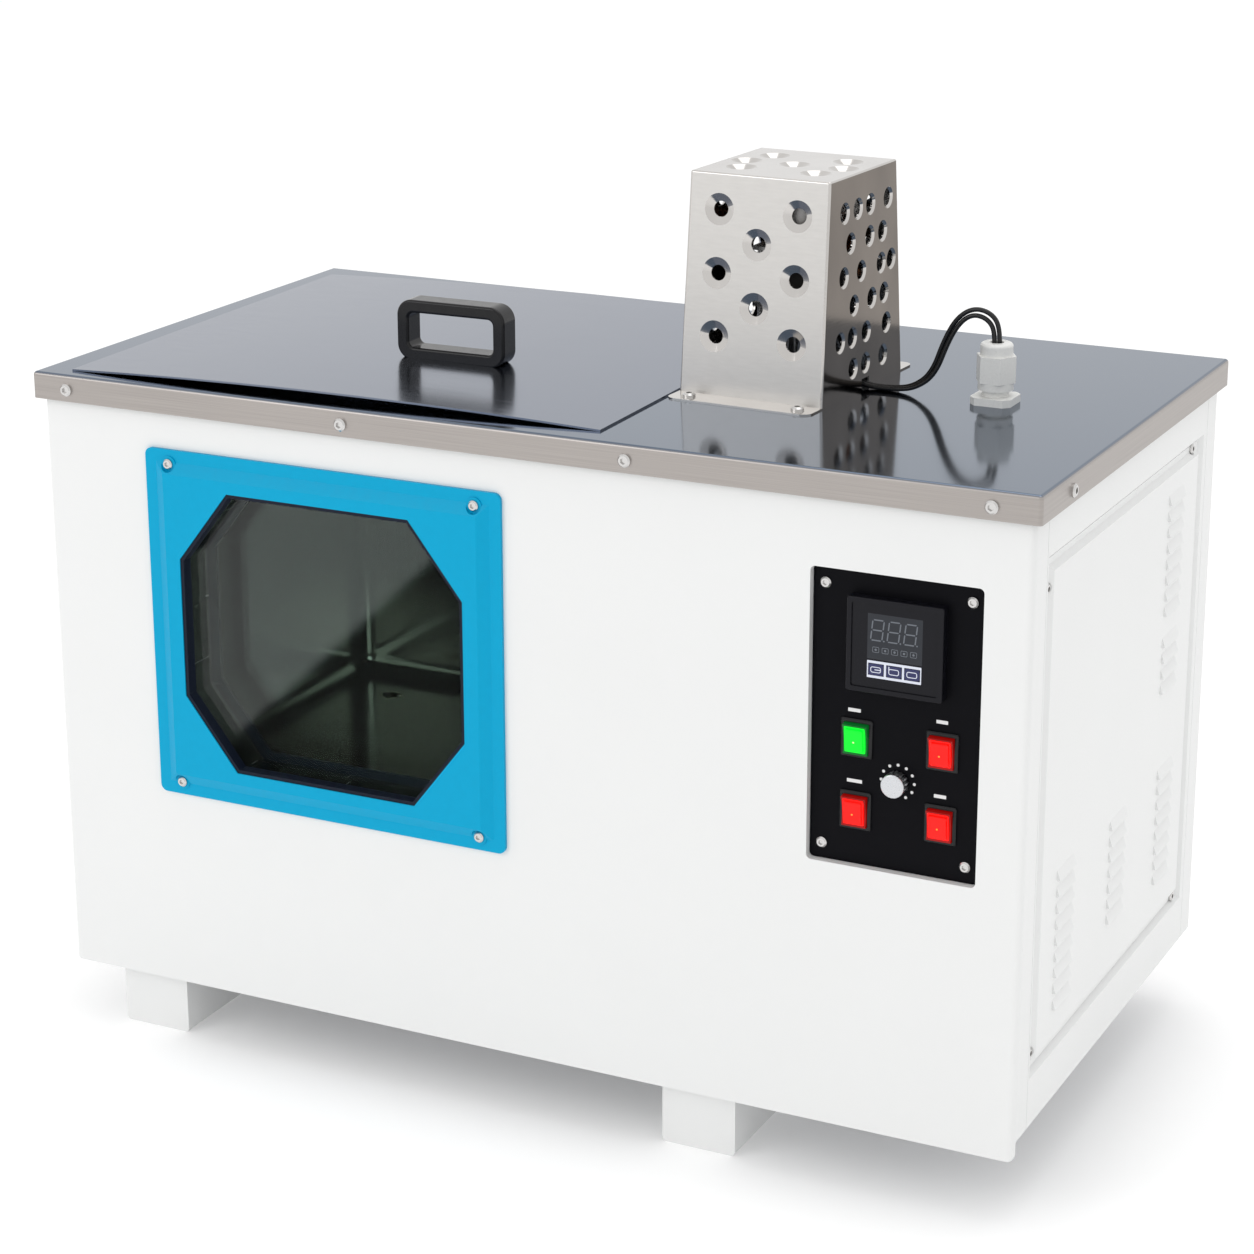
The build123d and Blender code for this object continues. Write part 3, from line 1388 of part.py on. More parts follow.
def lid_handle():
    """Moulded loop with rounded bars, its foot shaped to the bowed sheet."""
    bottom = bow_height(handle_offset[0] + handle_width / 2)
    centre = Pos(handle_offset[0], bottom + handle_height / 2)
    loop = RectangleRounded(handle_width, handle_height, handle_corner)
    loop -= RectangleRounded(handle_width - 2 * handle_bar, handle_height - 2 * handle_bar, handle_inner_corner)
    handle = facing_front(centre * loop, handle_offset[1] - handle_depth / 2, handle_depth)
    faces = handle.faces().sort_by(Axis.Y)
    handle = fillet(faces[0].edges() + faces[-1].edges(), handle_round)
    handle -= bowed_sheet(lid_width, lid_depth, lid_bow, stainless + lid_bow)
    for seat, outward in handle_screw_places():
        handle -= rod(seat, Vector(outward) * -1, screw_shank_radius, screw_length)
    return lid_place * handle


def handle_screws():
    return Compound(children=[lid_place * main_screw(seat, outward) for seat, outward in handle_screw_places()])


def small_screws():
    """The screws of the window bezel, the control plate and the side cover."""
    screws = [small_screw(seat, (0, -1, 0)) for seat in bezel_screw_places() + control_screw_places()]
    screws += [small_screw(seat, (1, 0, 0)) for seat in cover_screw_seats()]
    return Compound(children=screws)


# All pieces by name
def all_pieces():
    pieces = {
        "foot_rail_left": foot_rail(foot_centres_x[0]),
        "foot_rail_right": foot_rail(foot_centres_x[1]),
        "foot_end_plugs": foot_end_plugs(),
        "floor_pan": floor_pan(),
        "front_panel": front_panel(),
        "left_panel": left_panel(),
        "back_panel": back_panel(),
        "right_panel": right_panel(),
        "side_cover": side_cover(),
        "top_plate": top_plate(),
        "main_screws": main_screws(),
        "small_screws": small_screws(),
        "tank": tank(),
        "tank_jacket": tank_jacket(),
        "tank_bearers": tank_bearers(),
        "bulkhead": bulkhead(),
        "inner_gasket": inner_gasket(),
        "inner_pane": pane(inner_pane_front),
        "window_collar": window_collar(),
        "outer_gasket": outer_gasket(),
        "outer_pane": pane(outer_gasket_back),
        "window_bezel": window_bezel(),
        "heater": heater(),
        "temperature_probe": temperature_probe(),
        "motor_frame": motor_frame(),
        "motor_stator": motor_stator(),
        "motor_coil": motor_coil(),
        "motor_guard": motor_guard(),
        "stirrer_shaft": stirrer_shaft(),
        "impeller": impeller(),
        "gland_body": gland_body(),
        "gland_nut": gland_nut(),
        "motor_lead_left": motor_lead(lead_left_route),
        "motor_lead_right": motor_lead(lead_right_route),
        "control_plate": control_plate(),
        "controller_case": controller_case(),
        "controller_display": controller_display(),
        "potentiometer": potentiometer(),
        "pot_shaft": pot_shaft(),
        "speed_knob": speed_knob(),
        "relay": relay(),
        "mains_gland": mains_gland(),
        "drain_pipe": drain_pipe(),
        "drain_valve": drain_valve(),
        "drain_ball": drain_ball(),
        "drain_lever": drain_lever(),
        "lid_sheet": lid_sheet(),
        "lid_handle": lid_handle(),
        "handle_screws": handle_screws(),
    }
    names = ("left_upper", "left_lower", "right_upper", "right_lower")
    for name, (x, z) in zip(names, switch_places()):
        pieces["switch_" + name] = switch_housing(x, z)
        pieces["rocker_" + name] = rocker(x, z)
    for name, (x, z) in zip(("left", "middle", "right"), key_places()):
        pieces["key_" + name] = controller_key(x, z)
    return pieces


os.makedirs("parts", exist_ok=True)
to_middle = Pos(-plate_width / 2, -(front_most + valve_end) / 2, 0)
for piece_name, piece in all_pieces().items():
    export_step(to_middle * piece, os.path.join("parts", piece_name + ".step"))
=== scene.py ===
import math

import bmesh
import bpy
from bpy.props import FloatProperty, FloatVectorProperty, IntProperty, PointerProperty
from mathutils import Matrix, Vector


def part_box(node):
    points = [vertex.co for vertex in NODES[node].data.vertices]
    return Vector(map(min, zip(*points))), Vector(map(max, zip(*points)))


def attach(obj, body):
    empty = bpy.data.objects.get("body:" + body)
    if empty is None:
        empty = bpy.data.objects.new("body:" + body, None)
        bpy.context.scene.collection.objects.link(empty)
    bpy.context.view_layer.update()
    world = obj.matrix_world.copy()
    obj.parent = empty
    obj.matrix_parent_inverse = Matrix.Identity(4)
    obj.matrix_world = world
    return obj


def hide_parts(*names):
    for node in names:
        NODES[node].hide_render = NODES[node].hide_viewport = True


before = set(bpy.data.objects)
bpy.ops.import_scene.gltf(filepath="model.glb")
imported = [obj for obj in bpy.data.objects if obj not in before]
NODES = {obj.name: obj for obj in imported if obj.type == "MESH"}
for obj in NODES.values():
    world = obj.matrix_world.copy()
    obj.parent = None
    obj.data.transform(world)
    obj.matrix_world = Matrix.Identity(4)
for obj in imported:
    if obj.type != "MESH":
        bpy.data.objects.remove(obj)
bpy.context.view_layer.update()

bl_info = {
    "name": "Water bath dresser",
    "version": (1, 0, 0),
    "blender": (4, 5, 0),
    "location": "3D View > Sidebar > Water bath",
    "description": "Gives a stirred water bath its finishes, small parts and studio",
    "category": "Object",
}

MM = 0.001


def colour_field(name, description, default):
    """A colour that the user can change in the sidebar."""
    return FloatVectorProperty(name=name, description=description, default=default, subtype="COLOR",
                               size=3, min=0.0, max=1.0)


class BathFinishes(bpy.types.PropertyGroup):
    """Colours of the bath's larger surfaces."""
    paint: colour_field("Cabinet paint", "Powder coat on the cabinet and its feet", (0.80, 0.805, 0.80))
    window_paint: colour_field("Window paint", "Paint on the window's bezel", (0.0, 0.36, 0.61))
    panel_paint: colour_field("Control plate", "Paint behind the controls", (0.0035, 0.0035, 0.005))
    # The top plate's colour: steel with a painted blue-grey reflection.
    plate_steel_and_reflection: colour_field("Plate steel", "Polished steel of the top plate", (0.12, 0.155, 0.21))
    # The lid's colour: brushed steel with a painted blue-grey reflection.
    lid_steel_and_reflection: colour_field("Lid steel", "Brushed steel of the lid", (0.185, 0.21, 0.265))
    skirt_steel: colour_field("Skirt steel", "Brushed steel of the plate's skirt", (0.40, 0.37, 0.35))
    guard_steel: colour_field("Guard steel", "Steel of the motor guard", (0.60, 0.585, 0.565))
    green_lens: colour_field("Green lens", "Lit rocker that shows mains power", (0.0, 0.62, 0.02))
    red_lens: colour_field("Red lens", "Lit rockers of heater, stirrer and light", (0.85, 0.004, 0.002))


class BathDetails(bpy.types.PropertyGroup):
    """Sizes of the small parts that are added to the bath."""
    digit_height: FloatProperty(name="Digit height", description="Height of the unlit digits",
                                default=0.0155, unit="LENGTH")
    digit_width: FloatProperty(name="Digit width", description="Width of one digit",
                               default=0.0088, unit="LENGTH")
    digit_pitch: FloatProperty(name="Digit pitch", description="Distance between digits",
                               default=0.0128, unit="LENGTH")
    digit_slant: FloatProperty(name="Digit slant", description="Lean of the digits",
                               default=math.radians(6), subtype="ANGLE")
    dial_radius: FloatProperty(name="Dial radius", description="Circle on which the dial's dots lie",
                               default=0.013, unit="LENGTH")
    dial_dots: IntProperty(name="Dial dots", description="Number of dots round the speed knob",
                           default=11, min=2)
    lead_diameter: FloatProperty(name="Lead diameter", description="Diameter of one core of the motor lead",
                                 default=0.0038, unit="LENGTH")


class BathStage(bpy.types.PropertyGroup):
    """Camera and lamps."""
    focal_length: FloatProperty(name="Focal length", description="Camera focal length in millimetres",
                                default=89.52)
    azimuth: FloatProperty(name="Azimuth", description="Camera angle round the bath",
                           default=math.radians(26.38), subtype="ANGLE")
    elevation: FloatProperty(name="Elevation", description="Camera angle above the horizon",
                             default=math.radians(16.97), subtype="ANGLE")
    roll: FloatProperty(name="Roll", description="Camera roll", default=math.radians(-0.14), subtype="ANGLE")
    place: FloatVectorProperty(name="Camera place", description="Where the camera stands",
                               default=(1.0964, -2.2473, 1.1592), subtype="TRANSLATION")
    drop: FloatProperty(name="Frame drop", description="Camera shift that the photo's framing needs",
                        default=-0.0494)
    key_power: FloatProperty(name="Key lamp", description="Power of the lamp in front", default=15.0,
                             subtype="POWER")
    top_power: FloatProperty(name="Top lamp", description="Power of the lamp above", default=14.0,
                             subtype="POWER")


def finishes():
    """The colours that are set in the sidebar."""
    return bpy.context.scene.bath_finishes


def details():
    """The small parts' sizes that are set in the sidebar."""
    return bpy.context.scene.bath_details


def stage_values():
    """The camera and lamp values that are set in the sidebar."""
    return bpy.context.scene.bath_stage


# Shared shader groups

def new_group(name, inputs, outputs):
    """Empty shader group with named sockets, and its two end nodes."""
    group = bpy.data.node_groups.new(name, "ShaderNodeTree")
    for label, kind, default in inputs:
        socket = group.interface.new_socket(label, in_out="INPUT", socket_type=kind)
        socket.default_value = default
    for label, kind in outputs:
        group.interface.new_socket(label, in_out="OUTPUT", socket_type=kind)
    return group, group.nodes.new("NodeGroupInput"), group.nodes.new("NodeGroupOutput")


def add_node(tree, kind, **values):
    """Node with its attributes set."""
    node = tree.nodes.new(kind)
    for key, value in values.items():
        setattr(node, key, value)
    return node


def grain_group():
    """Noise stretched along the object's axes, as a mask and as a shallow relief."""
    if "surface_grain" in bpy.data.node_groups:
        return bpy.data.node_groups["surface_grain"]
    group, start, end = new_group(
        "surface_grain",
        [("Stretch", "NodeSocketVector", (1.0, 1.0, 1.0)), ("Depth", "NodeSocketFloat", 0.0001)],
        [("Grain", "NodeSocketFloat"), ("Normal", "NodeSocketVector")])
    place = add_node(group, "ShaderNodeTexCoord")
    stretch = add_node(group, "ShaderNodeVectorMath", operation="MULTIPLY")
    noise = add_node(group, "ShaderNodeTexNoise")
    noise.inputs["Scale"].default_value = 1.0
    noise.inputs["Detail"].default_value = 3.0
    bump = add_node(group, "ShaderNodeBump")
    bump.inputs["Strength"].default_value = 1.0
    link = group.links.new
    link(place.outputs["Object"], stretch.inputs[0])
    link(start.outputs["Stretch"], stretch.inputs[1])
    link(stretch.outputs[0], noise.inputs["Vector"])
    link(noise.outputs["Fac"], bump.inputs["Height"])
    link(start.outputs["Depth"], bump.inputs["Distance"])
    link(noise.outputs["Fac"], end.inputs["Grain"])
    link(bump.outputs["Normal"], end.inputs["Normal"])
    return group


def facing_group():
    """Mask of the surfaces whose normal lies near a given direction."""
    if "facing_mask" in bpy.data.node_groups:
        return bpy.data.node_groups["facing_mask"]
    group, start, end = new_group(
        "facing_mask",
        [("Direction", "NodeSocketVector", (0.0, 0.0, 1.0)), ("From", "NodeSocketFloat", 0.5),
         ("To", "NodeSocketFloat", 0.9)],
        [("Mask", "NodeSocketFloat")])
    place = add_node(group, "ShaderNodeTexCoord")
    along = add_node(group, "ShaderNodeVectorMath", operation="DOT_PRODUCT")
    spread = add_node(group, "ShaderNodeMapRange")
    link = group.links.new
    link(place.outputs["Normal"], along.inputs[0])
    link(start.outputs["Direction"], along.inputs[1])
    link(along.outputs["Value"], spread.inputs["Value"])
    link(start.outputs["From"], spread.inputs["From Min"])
    link(start.outputs["To"], spread.inputs["From Max"])
    link(spread.outputs["Result"], end.inputs["Mask"])
    return group


# Material building blocks

def start_material(name, **sockets):
    """Material with one Principled shader whose plain sockets are set by name."""
    material = bpy.data.materials.new(name)
    material.use_nodes = True
    shader = material.node_tree.nodes["Principled BSDF"]
    for label, value in sockets.items():
        shader.inputs[label.replace("_", " ")].default_value = value
    return material, material.node_tree, shader


def opaque(colour):
    """Colour with full alpha."""
    return (colour[0], colour[1], colour[2], 1.0)


def grain_node(tree, stretch, depth):
    """The shared grain group placed in a material with its own values."""
    node = add_node(tree, "ShaderNodeGroup", node_tree=grain_group())
    node.inputs["Stretch"].default_value = stretch
    node.inputs["Depth"].default_value = depth
    return node


def facing_node(tree, direction, low, high):
    """The shared direction mask placed in a material with its own values."""
    node = add_node(tree, "ShaderNodeGroup", node_tree=facing_group())
    node.inputs["Direction"].default_value = direction
    node.inputs["From"].default_value = low
    node.inputs["To"].default_value = high
    return node


def spread_to(tree, source, socket, low, high, middle=(0.3, 0.7)):
    """Maps a grain or mask onto a value between two limits."""
    node = add_node(tree, "ShaderNodeMapRange")
    node.inputs["From Min"].default_value = middle[0]
    node.inputs["From Max"].default_value = middle[1]
    node.inputs["To Min"].default_value = low
    node.inputs["To Max"].default_value = high
    tree.links.new(source, node.inputs["Value"])
    tree.links.new(node.outputs["Result"], socket)


def blend_colours(tree, factor, first, second):
    """Colour between two, each a plain colour or a socket."""
    node = add_node(tree, "ShaderNodeMix", data_type="RGBA")
    tree.links.new(factor, node.inputs["Factor"])
    for socket, value in ((node.inputs[6], first), (node.inputs[7], second)):
        if isinstance(value, bpy.types.NodeSocket):
            tree.links.new(value, socket)
        else:
            socket.default_value = opaque(value)
    return node.outputs[2]


def scaled(colour, factor):
    """Colour made lighter or darker."""
    return tuple(channel * factor for channel in colour)


def powder_coat(name, colour, roughness=0.38):
    """Sprayed powder paint: slight orange peel and a faint unevenness of tone."""
    material, tree, shader = start_material(name)
    peel = grain_node(tree, (420.0, 420.0, 420.0), 0.00003)
    tone = grain_node(tree, (9.0, 9.0, 9.0), 0.0)
    tree.links.new(peel.outputs["Normal"], shader.inputs["Normal"])
    spread_to(tree, peel.outputs["Grain"], shader.inputs["Roughness"], roughness - 0.05, roughness + 0.07)
    tinted = blend_colours(tree, tone.outputs["Grain"], scaled(colour, 0.97), colour)
    tree.links.new(tinted, shader.inputs["Base Color"])
    return material


def gloss_paint(name, colour, roughness=0.2, shine=0.5):
    """Smooth paint or gloss moulding with a very fine ripple."""
    material, tree, shader = start_material(name, Specular_IOR_Level=shine)
    ripple = grain_node(tree, (150.0, 150.0, 150.0), 0.00002)
    tree.links.new(ripple.outputs["Normal"], shader.inputs["Normal"])
    spread_to(tree, ripple.outputs["Grain"], shader.inputs["Roughness"], roughness - 0.03, roughness + 0.06)
    tinted = blend_colours(tree, ripple.outputs["Grain"], scaled(colour, 0.94), colour)
    tree.links.new(tinted, shader.inputs["Base Color"])
    return material


def moulded(name, colour, roughness=0.5, grain=1100.0, depth=0.00004, shine=0.4):
    """Textured plastic or rubber."""
    material, tree, shader = start_material(name, Specular_IOR_Level=shine)
    skin = grain_node(tree, (grain, grain, grain), depth)
    tree.links.new(skin.outputs["Normal"], shader.inputs["Normal"])
    spread_to(tree, skin.outputs["Grain"], shader.inputs["Roughness"], roughness - 0.08, roughness + 0.1)
    tinted = blend_colours(tree, skin.outputs["Grain"], scaled(colour, 0.88), colour)
    tree.links.new(tinted, shader.inputs["Base Color"])
    return material


def brushed(name, colour, roughness, stretch, depth=0.00001, cloud=0.06):
    """Metal with fine parallel scratches and a faint cloudiness."""
    material, tree, shader = start_material(name, Metallic=1.0)
    lines = grain_node(tree, stretch, depth)
    haze = grain_node(tree, (6.0, 6.0, 6.0), 0.0)
    tree.links.new(lines.outputs["Normal"], shader.inputs["Normal"])
    spread_to(tree, lines.outputs["Grain"], shader.inputs["Roughness"], roughness * 0.8, roughness * 1.25)
    streaked = blend_colours(tree, lines.outputs["Grain"], scaled(colour, 0.9), scaled(colour, 1.06))
    clouded = blend_colours(tree, haze.outputs["Grain"], scaled(colour, 1.0 - cloud), streaked)
    tree.links.new(clouded, shader.inputs["Base Color"])
    return material


def plate_steel_and_reflection():
    """Top plate: glossy top face whose blue-grey colour is the steel with a painted reflection, and a warm
    brushed skirt round it.
    """
    look = finishes()
    material, tree, shader = start_material("plate_steel_and_reflection", Metallic=1.0)
    # Upward faces get the painted blue-grey reflection, and the other faces get the skirt's steel.
    up = facing_node(tree, (0.0, 0.0, 1.0), 0.4, 0.9)
    fine = grain_node(tree, (3.0, 900.0, 900.0), 0.0000035)
    lines = grain_node(tree, (8.0, 8.0, 1500.0), 0.000012)
    haze = grain_node(tree, (5.0, 7.0, 5.0), 0.0)
    top = blend_colours(tree, fine.outputs["Grain"], scaled(look.plate_steel_and_reflection, 0.93), look.plate_steel_and_reflection)
    side = blend_colours(tree, lines.outputs["Grain"], scaled(look.skirt_steel, 0.78),
                         scaled(look.skirt_steel, 1.15))
    # The top face's colour: steel with a painted reflection, clouded a little.
    painted_top_reflection = blend_colours(tree, haze.outputs["Grain"], scaled(look.plate_steel_and_reflection, 0.95), top)
    mixed = blend_colours(tree, up.outputs["Mask"], side, painted_top_reflection)
    tree.links.new(mixed, shader.inputs["Base Color"])
    spread_to(tree, up.outputs["Mask"], shader.inputs["Roughness"], 0.36, 0.1, (0.0, 1.0))
    normals = add_node(tree, "ShaderNodeMix", data_type="VECTOR")
    tree.links.new(up.outputs["Mask"], normals.inputs["Factor"])
    tree.links.new(lines.outputs["Normal"], normals.inputs[4])
    tree.links.new(fine.outputs["Normal"], normals.inputs[5])
    tree.links.new(normals.outputs[1], shader.inputs["Normal"])
    return material


def guard_steel():
    """Guard: satin front, a glossy right side with a painted dark reflection, and bright metal on its
    dimples and other faces.
    """
    look = finishes()
    # The front leans back by the taper over the height, both in millimetres. The turn is about the vertical.
    guard_taper = 14.0
    guard_height = 174.0
    turn = math.radians(-2.5)
    lean = math.atan2(guard_taper, guard_height)
    front = (math.sin(turn) * math.cos(lean), -math.cos(turn) * math.cos(lean), math.sin(lean))
    material, tree, shader = start_material("guard_steel", Metallic=1.0)
    flat = facing_node(tree, front, 0.985, 0.998)
    # Mask of the right side, where a dark reflection is painted.
    side = facing_node(tree, (math.cos(turn), math.sin(turn), 0.0), 0.93, 0.98)
    lines = grain_node(tree, (90.0, 90.0, 500.0), 0.000012)
    haze = grain_node(tree, (14.0, 14.0, 9.0), 0.0)
    satin = blend_colours(tree, lines.outputs["Grain"], scaled(look.guard_steel, 0.92),
                          scaled(look.guard_steel, 1.04))
    bright = blend_colours(tree, haze.outputs["Grain"], (0.46, 0.44, 0.42), (0.66, 0.64, 0.62))
    # A painted dark reflection on the right side's glossy steel.
    painted_dark_reflection = blend_colours(tree, haze.outputs["Grain"], (0.075, 0.062, 0.052), (0.24, 0.205, 0.175))
    right_side_painted_dark = blend_colours(tree, side.outputs["Mask"], bright, painted_dark_reflection)
    mixed = blend_colours(tree, flat.outputs["Mask"], right_side_painted_dark, satin)
    tree.links.new(mixed, shader.inputs["Base Color"])
    spread_to(tree, flat.outputs["Mask"], shader.inputs["Roughness"], 0.12, 0.42, (0.0, 1.0))
    tree.links.new(lines.outputs["Normal"], shader.inputs["Normal"])
    return material


def lit_lens(name, colour, glow, strength):
    """Coloured lens lit evenly from behind, with a fine ripple."""
    material, tree, shader = start_material(name, Emission_Strength=strength, Specular_IOR_Level=0.25)
    ripple = grain_node(tree, (600.0, 600.0, 600.0), 0.00002)
    tree.links.new(ripple.outputs["Normal"], shader.inputs["Normal"])
    spread_to(tree, ripple.outputs["Grain"], shader.inputs["Roughness"], 0.14, 0.24)
    tinted = blend_colours(tree, ripple.outputs["Grain"], scaled(colour, 0.9), colour)
    tree.links.new(tinted, shader.inputs["Base Color"])
    warm = blend_colours(tree, ripple.outputs["Grain"], scaled(glow, 0.95), glow)
    tree.links.new(warm, shader.inputs["Emission Color"])
    return material


def painted_reflection_edge(tree):
    """Painted reflection: how strongly a pane mirrors, fully at its upper left, faintly beyond a slanting
    edge.

    The edge is fixed on the panes, where the photo has it.
    """
    # Direction across the edge, and the two distances along it, in metres, between which the mask changes.
    across_the_edge = (-0.68, 0.0, 0.73)
    edge_starts = 0.377
    edge_ends = 0.385
    faint = 0.12
    full = 1.1
    place = add_node(tree, "ShaderNodeTexCoord")
    along = add_node(tree, "ShaderNodeVectorMath", operation="DOT_PRODUCT")
    along.inputs[1].default_value = across_the_edge
    tree.links.new(place.outputs["Object"], along.inputs[0])
    spread = add_node(tree, "ShaderNodeMapRange")
    spread.inputs["From Min"].default_value = edge_starts
    spread.inputs["From Max"].default_value = edge_ends
    spread.inputs["To Min"].default_value = faint
    spread.inputs["To Max"].default_value = full
    tree.links.new(along.outputs["Value"], spread.inputs["Value"])
    return spread.outputs["Result"]


def clear_glass():
    """Thin clear pane: light passes with a faint green tint, and its faces mirror as glass does, strongly
    only where a reflection is painted at the upper left.
    """
    material, tree, shader = start_material("pane_glass")
    tree.nodes.remove(shader)
    through = add_node(tree, "ShaderNodeBsdfTransparent")
    through.inputs["Color"].default_value = (0.90, 0.95, 0.93, 1.0)
    mirror = add_node(tree, "ShaderNodeBsdfGlossy")
    smear = grain_node(tree, (7.0, 7.0, 3.0), 0.0)
    edge = add_node(tree, "ShaderNodeFresnel")
    edge.inputs["IOR"].default_value = 1.3
    mix = add_node(tree, "ShaderNodeMixShader")
    painted_sheen = add_node(tree, "ShaderNodeMath", operation="MULTIPLY")
    # A painted reflection, fixed at the panes' upper left, sets how strongly they mirror.
    bright = painted_reflection_edge(tree)
    tree.links.new(edge.outputs["Fac"], painted_sheen.inputs[0])
    tree.links.new(bright, painted_sheen.inputs[1])
    spread_to(tree, smear.outputs["Grain"], mirror.inputs["Roughness"], 0.01, 0.04)
    tree.links.new(painted_sheen.outputs[0], mix.inputs["Fac"])
    tree.links.new(through.outputs[0], mix.inputs[1])
    tree.links.new(mirror.outputs[0], mix.inputs[2])
    tree.links.new(mix.outputs[0], tree.nodes["Material Output"].inputs["Surface"])
    return material


# Mesh building blocks

def mesh_piece(name, mesh_maker, material, body, bevel=0.0, segments=2):
    """New mesh object from a function that fills a bmesh, dressed and set on a body."""
    mesh = bpy.data.meshes.new(name)
    shape = bmesh.new()
    mesh_maker(shape)
    bmesh.ops.recalc_face_normals(shape, faces=shape.faces)
    shape.to_mesh(mesh)
    shape.free()
    piece = bpy.data.objects.new(name, mesh)
    bpy.context.scene.collection.objects.link(piece)
    mesh.materials.append(material)
    if bevel:
        rounding = piece.modifiers.new("rounding", "BEVEL")
        rounding.width = bevel
        rounding.segments = segments
        rounding.limit_method = "ANGLE"
    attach(piece, body)
    return piece


def add_prism(shape, outline, back, front):
    """Closed outline in x and z, thickened between two y values. The front is the lower y."""
    rear = [shape.verts.new((x, back, z)) for x, z in outline]
    fore = [shape.verts.new((x, front, z)) for x, z in outline]
    shape.faces.new(fore)
    shape.faces.new(rear[::-1])
    count = len(outline)
    for index in range(count):
        after = (index + 1) % count
        shape.faces.new((fore[index], rear[index], rear[after], fore[after]))


def rounded_outline(centre_x, centre_z, width, height, radius, steps=5):
    """Corner points of a rounded rectangle in x and z."""
    points = []
    for corner, (sx, sz) in enumerate(((1, 1), (-1, 1), (-1, -1), (1, -1))):
        for step in range(steps + 1):
            angle = math.pi / 2 * (corner + step / steps)
            points.append((centre_x + sx * (width / 2 - radius) + radius * math.cos(angle),
                           centre_z + sz * (height / 2 - radius) + radius * math.sin(angle)))
    return points


def circle_outline(centre_x, centre_z, radius, steps=24):
    """Corner points of a circle in x and z."""
    return [(centre_x + radius * math.cos(2 * math.pi * step / steps),
             centre_z + radius * math.sin(2 * math.pi * step / steps)) for step in range(steps)]


def add_frame(shape, outer, inner, back, front):
    """Flat ring between two outlines with equally many points."""
    loops = []
    for y in (front, back):
        for outline in (outer, inner):
            loops.append([shape.verts.new((x, y, z)) for x, z in outline])
    fore_out, fore_in, rear_out, rear_in = loops
    count = len(outer)
    for index in range(count):
        after = (index + 1) % count
        shape.faces.new((fore_out[index], fore_out[after], fore_in[after], fore_in[index]))
        shape.faces.new((rear_out[index], rear_in[index], rear_in[after], rear_out[after]))
        shape.faces.new((fore_out[index], rear_out[index], rear_out[after], fore_out[after]))
        shape.faces.new((fore_in[index], fore_in[after], rear_in[after], rear_in[index]))


def dress(material, *names):
    """Gives a finish to CAD nodes."""
    for name in names:
        node = NODES[name]
        node.data.materials.clear()
        node.data.materials.append(material)


# Operators

class BathOperator:
    """What every step of the dressing shares."""
    bl_options = {"REGISTER", "UNDO"}

    def execute(self, context):
        self.make(context)
        return {"FINISHED"}


class BATH_OT_cabinet(BathOperator, bpy.types.Operator):
    """Paint the cabinet's sheets, the side cover and the feet"""
    bl_idname = "bath.cabinet"
    bl_label = "Cabinet"

    def make(self, context):
        paint = powder_coat("cabinet_paint", finishes().paint)
        dress(paint, "front_panel", "left_panel", "back_panel", "right_panel", "side_cover",
              "foot_rail_left", "foot_rail_right", "foot_end_plugs")
        zinc = brushed("zinc_sheet", (0.42, 0.43, 0.45), 0.42, (25.0, 25.0, 25.0), 0.00002, 0.2)
        dress(zinc, "floor_pan", "tank_bearers", "bulkhead")


class BATH_OT_top(BathOperator, bpy.types.Operator):
    """Give the top plate its glossy face with a painted reflection and its brushed skirt"""
    bl_idname = "bath.top"
    bl_label = "Top plate"

    def make(self, context):
        dress(plate_steel_and_reflection(), "top_plate")


class BATH_OT_lid(BathOperator, bpy.types.Operator):
    """Brush the lid and mould its handle"""
    bl_idname = "bath.lid"
    bl_label = "Lid and handle"

    def make(self, context):
        # The lid's colour is brushed steel with a painted blue-grey reflection in it.
        steel = brushed("lid_steel_and_reflection", finishes().lid_steel_and_reflection, 0.17, (4.0, 1100.0, 1100.0), 0.000006)
        dress(steel, "lid_sheet")
        dress(gloss_paint("handle_black", (0.006, 0.006, 0.007), 0.17, 0.3), "lid_handle")


class BATH_OT_window(BathOperator, bpy.types.Operator):
    """Paint the window's bezel, glaze it and give it its gaskets"""
    bl_idname = "bath.window"
    bl_label = "Window"

    def make(self, context):
        dress(gloss_paint("bezel_paint", finishes().window_paint, 0.32, 0.12), "window_bezel")
        rubber = moulded("gasket_rubber", (0.008, 0.012, 0.025), 0.42, shine=0.15)
        dress(rubber, "outer_gasket", "inner_gasket")
        dress(clear_glass(), "outer_pane", "inner_pane")
        steel = brushed("collar_steel", (0.45, 0.44, 0.42), 0.22, (500.0, 8.0, 500.0), 0.00001)
        dress(steel, "window_collar")


class BATH_OT_tank(BathOperator, bpy.types.Operator):
    """Dress the tank, its jacket, the heater and the probe"""
    bl_idname = "bath.tank"
    bl_label = "Tank"

    def make(self, context):
        steel = brushed("tank_steel", (0.40, 0.385, 0.36), 0.16, (420.0, 420.0, 8.0), 0.000004, 0.12)
        dress(steel, "tank")
        dress(moulded("mineral_wool", (0.42, 0.36, 0.2), 0.95, 260.0, 0.0012), "tank_jacket")
        ground = brushed("ground_steel", (0.5, 0.5, 0.5), 0.25, (300.0, 300.0, 20.0))
        dress(ground, "heater", "temperature_probe", "stirrer_shaft", "impeller", "motor_frame", "pot_shaft")


class BATH_OT_motor(BathOperator, bpy.types.Operator):
    """Dress the guard and the motor under it"""
    bl_idname = "bath.motor"
    bl_label = "Motor and guard"

    def make(self, context):
        dress(guard_steel(), "motor_guard")
        core = brushed("core_steel", (0.09, 0.085, 0.08), 0.5, (20.0, 20.0, 2200.0), 0.00003)
        dress(core, "motor_stator")
        wire = brushed("copper_wire", (0.42, 0.16, 0.06), 0.3, (10.0, 1500.0, 1500.0), 0.0001)
        dress(wire, "motor_coil")


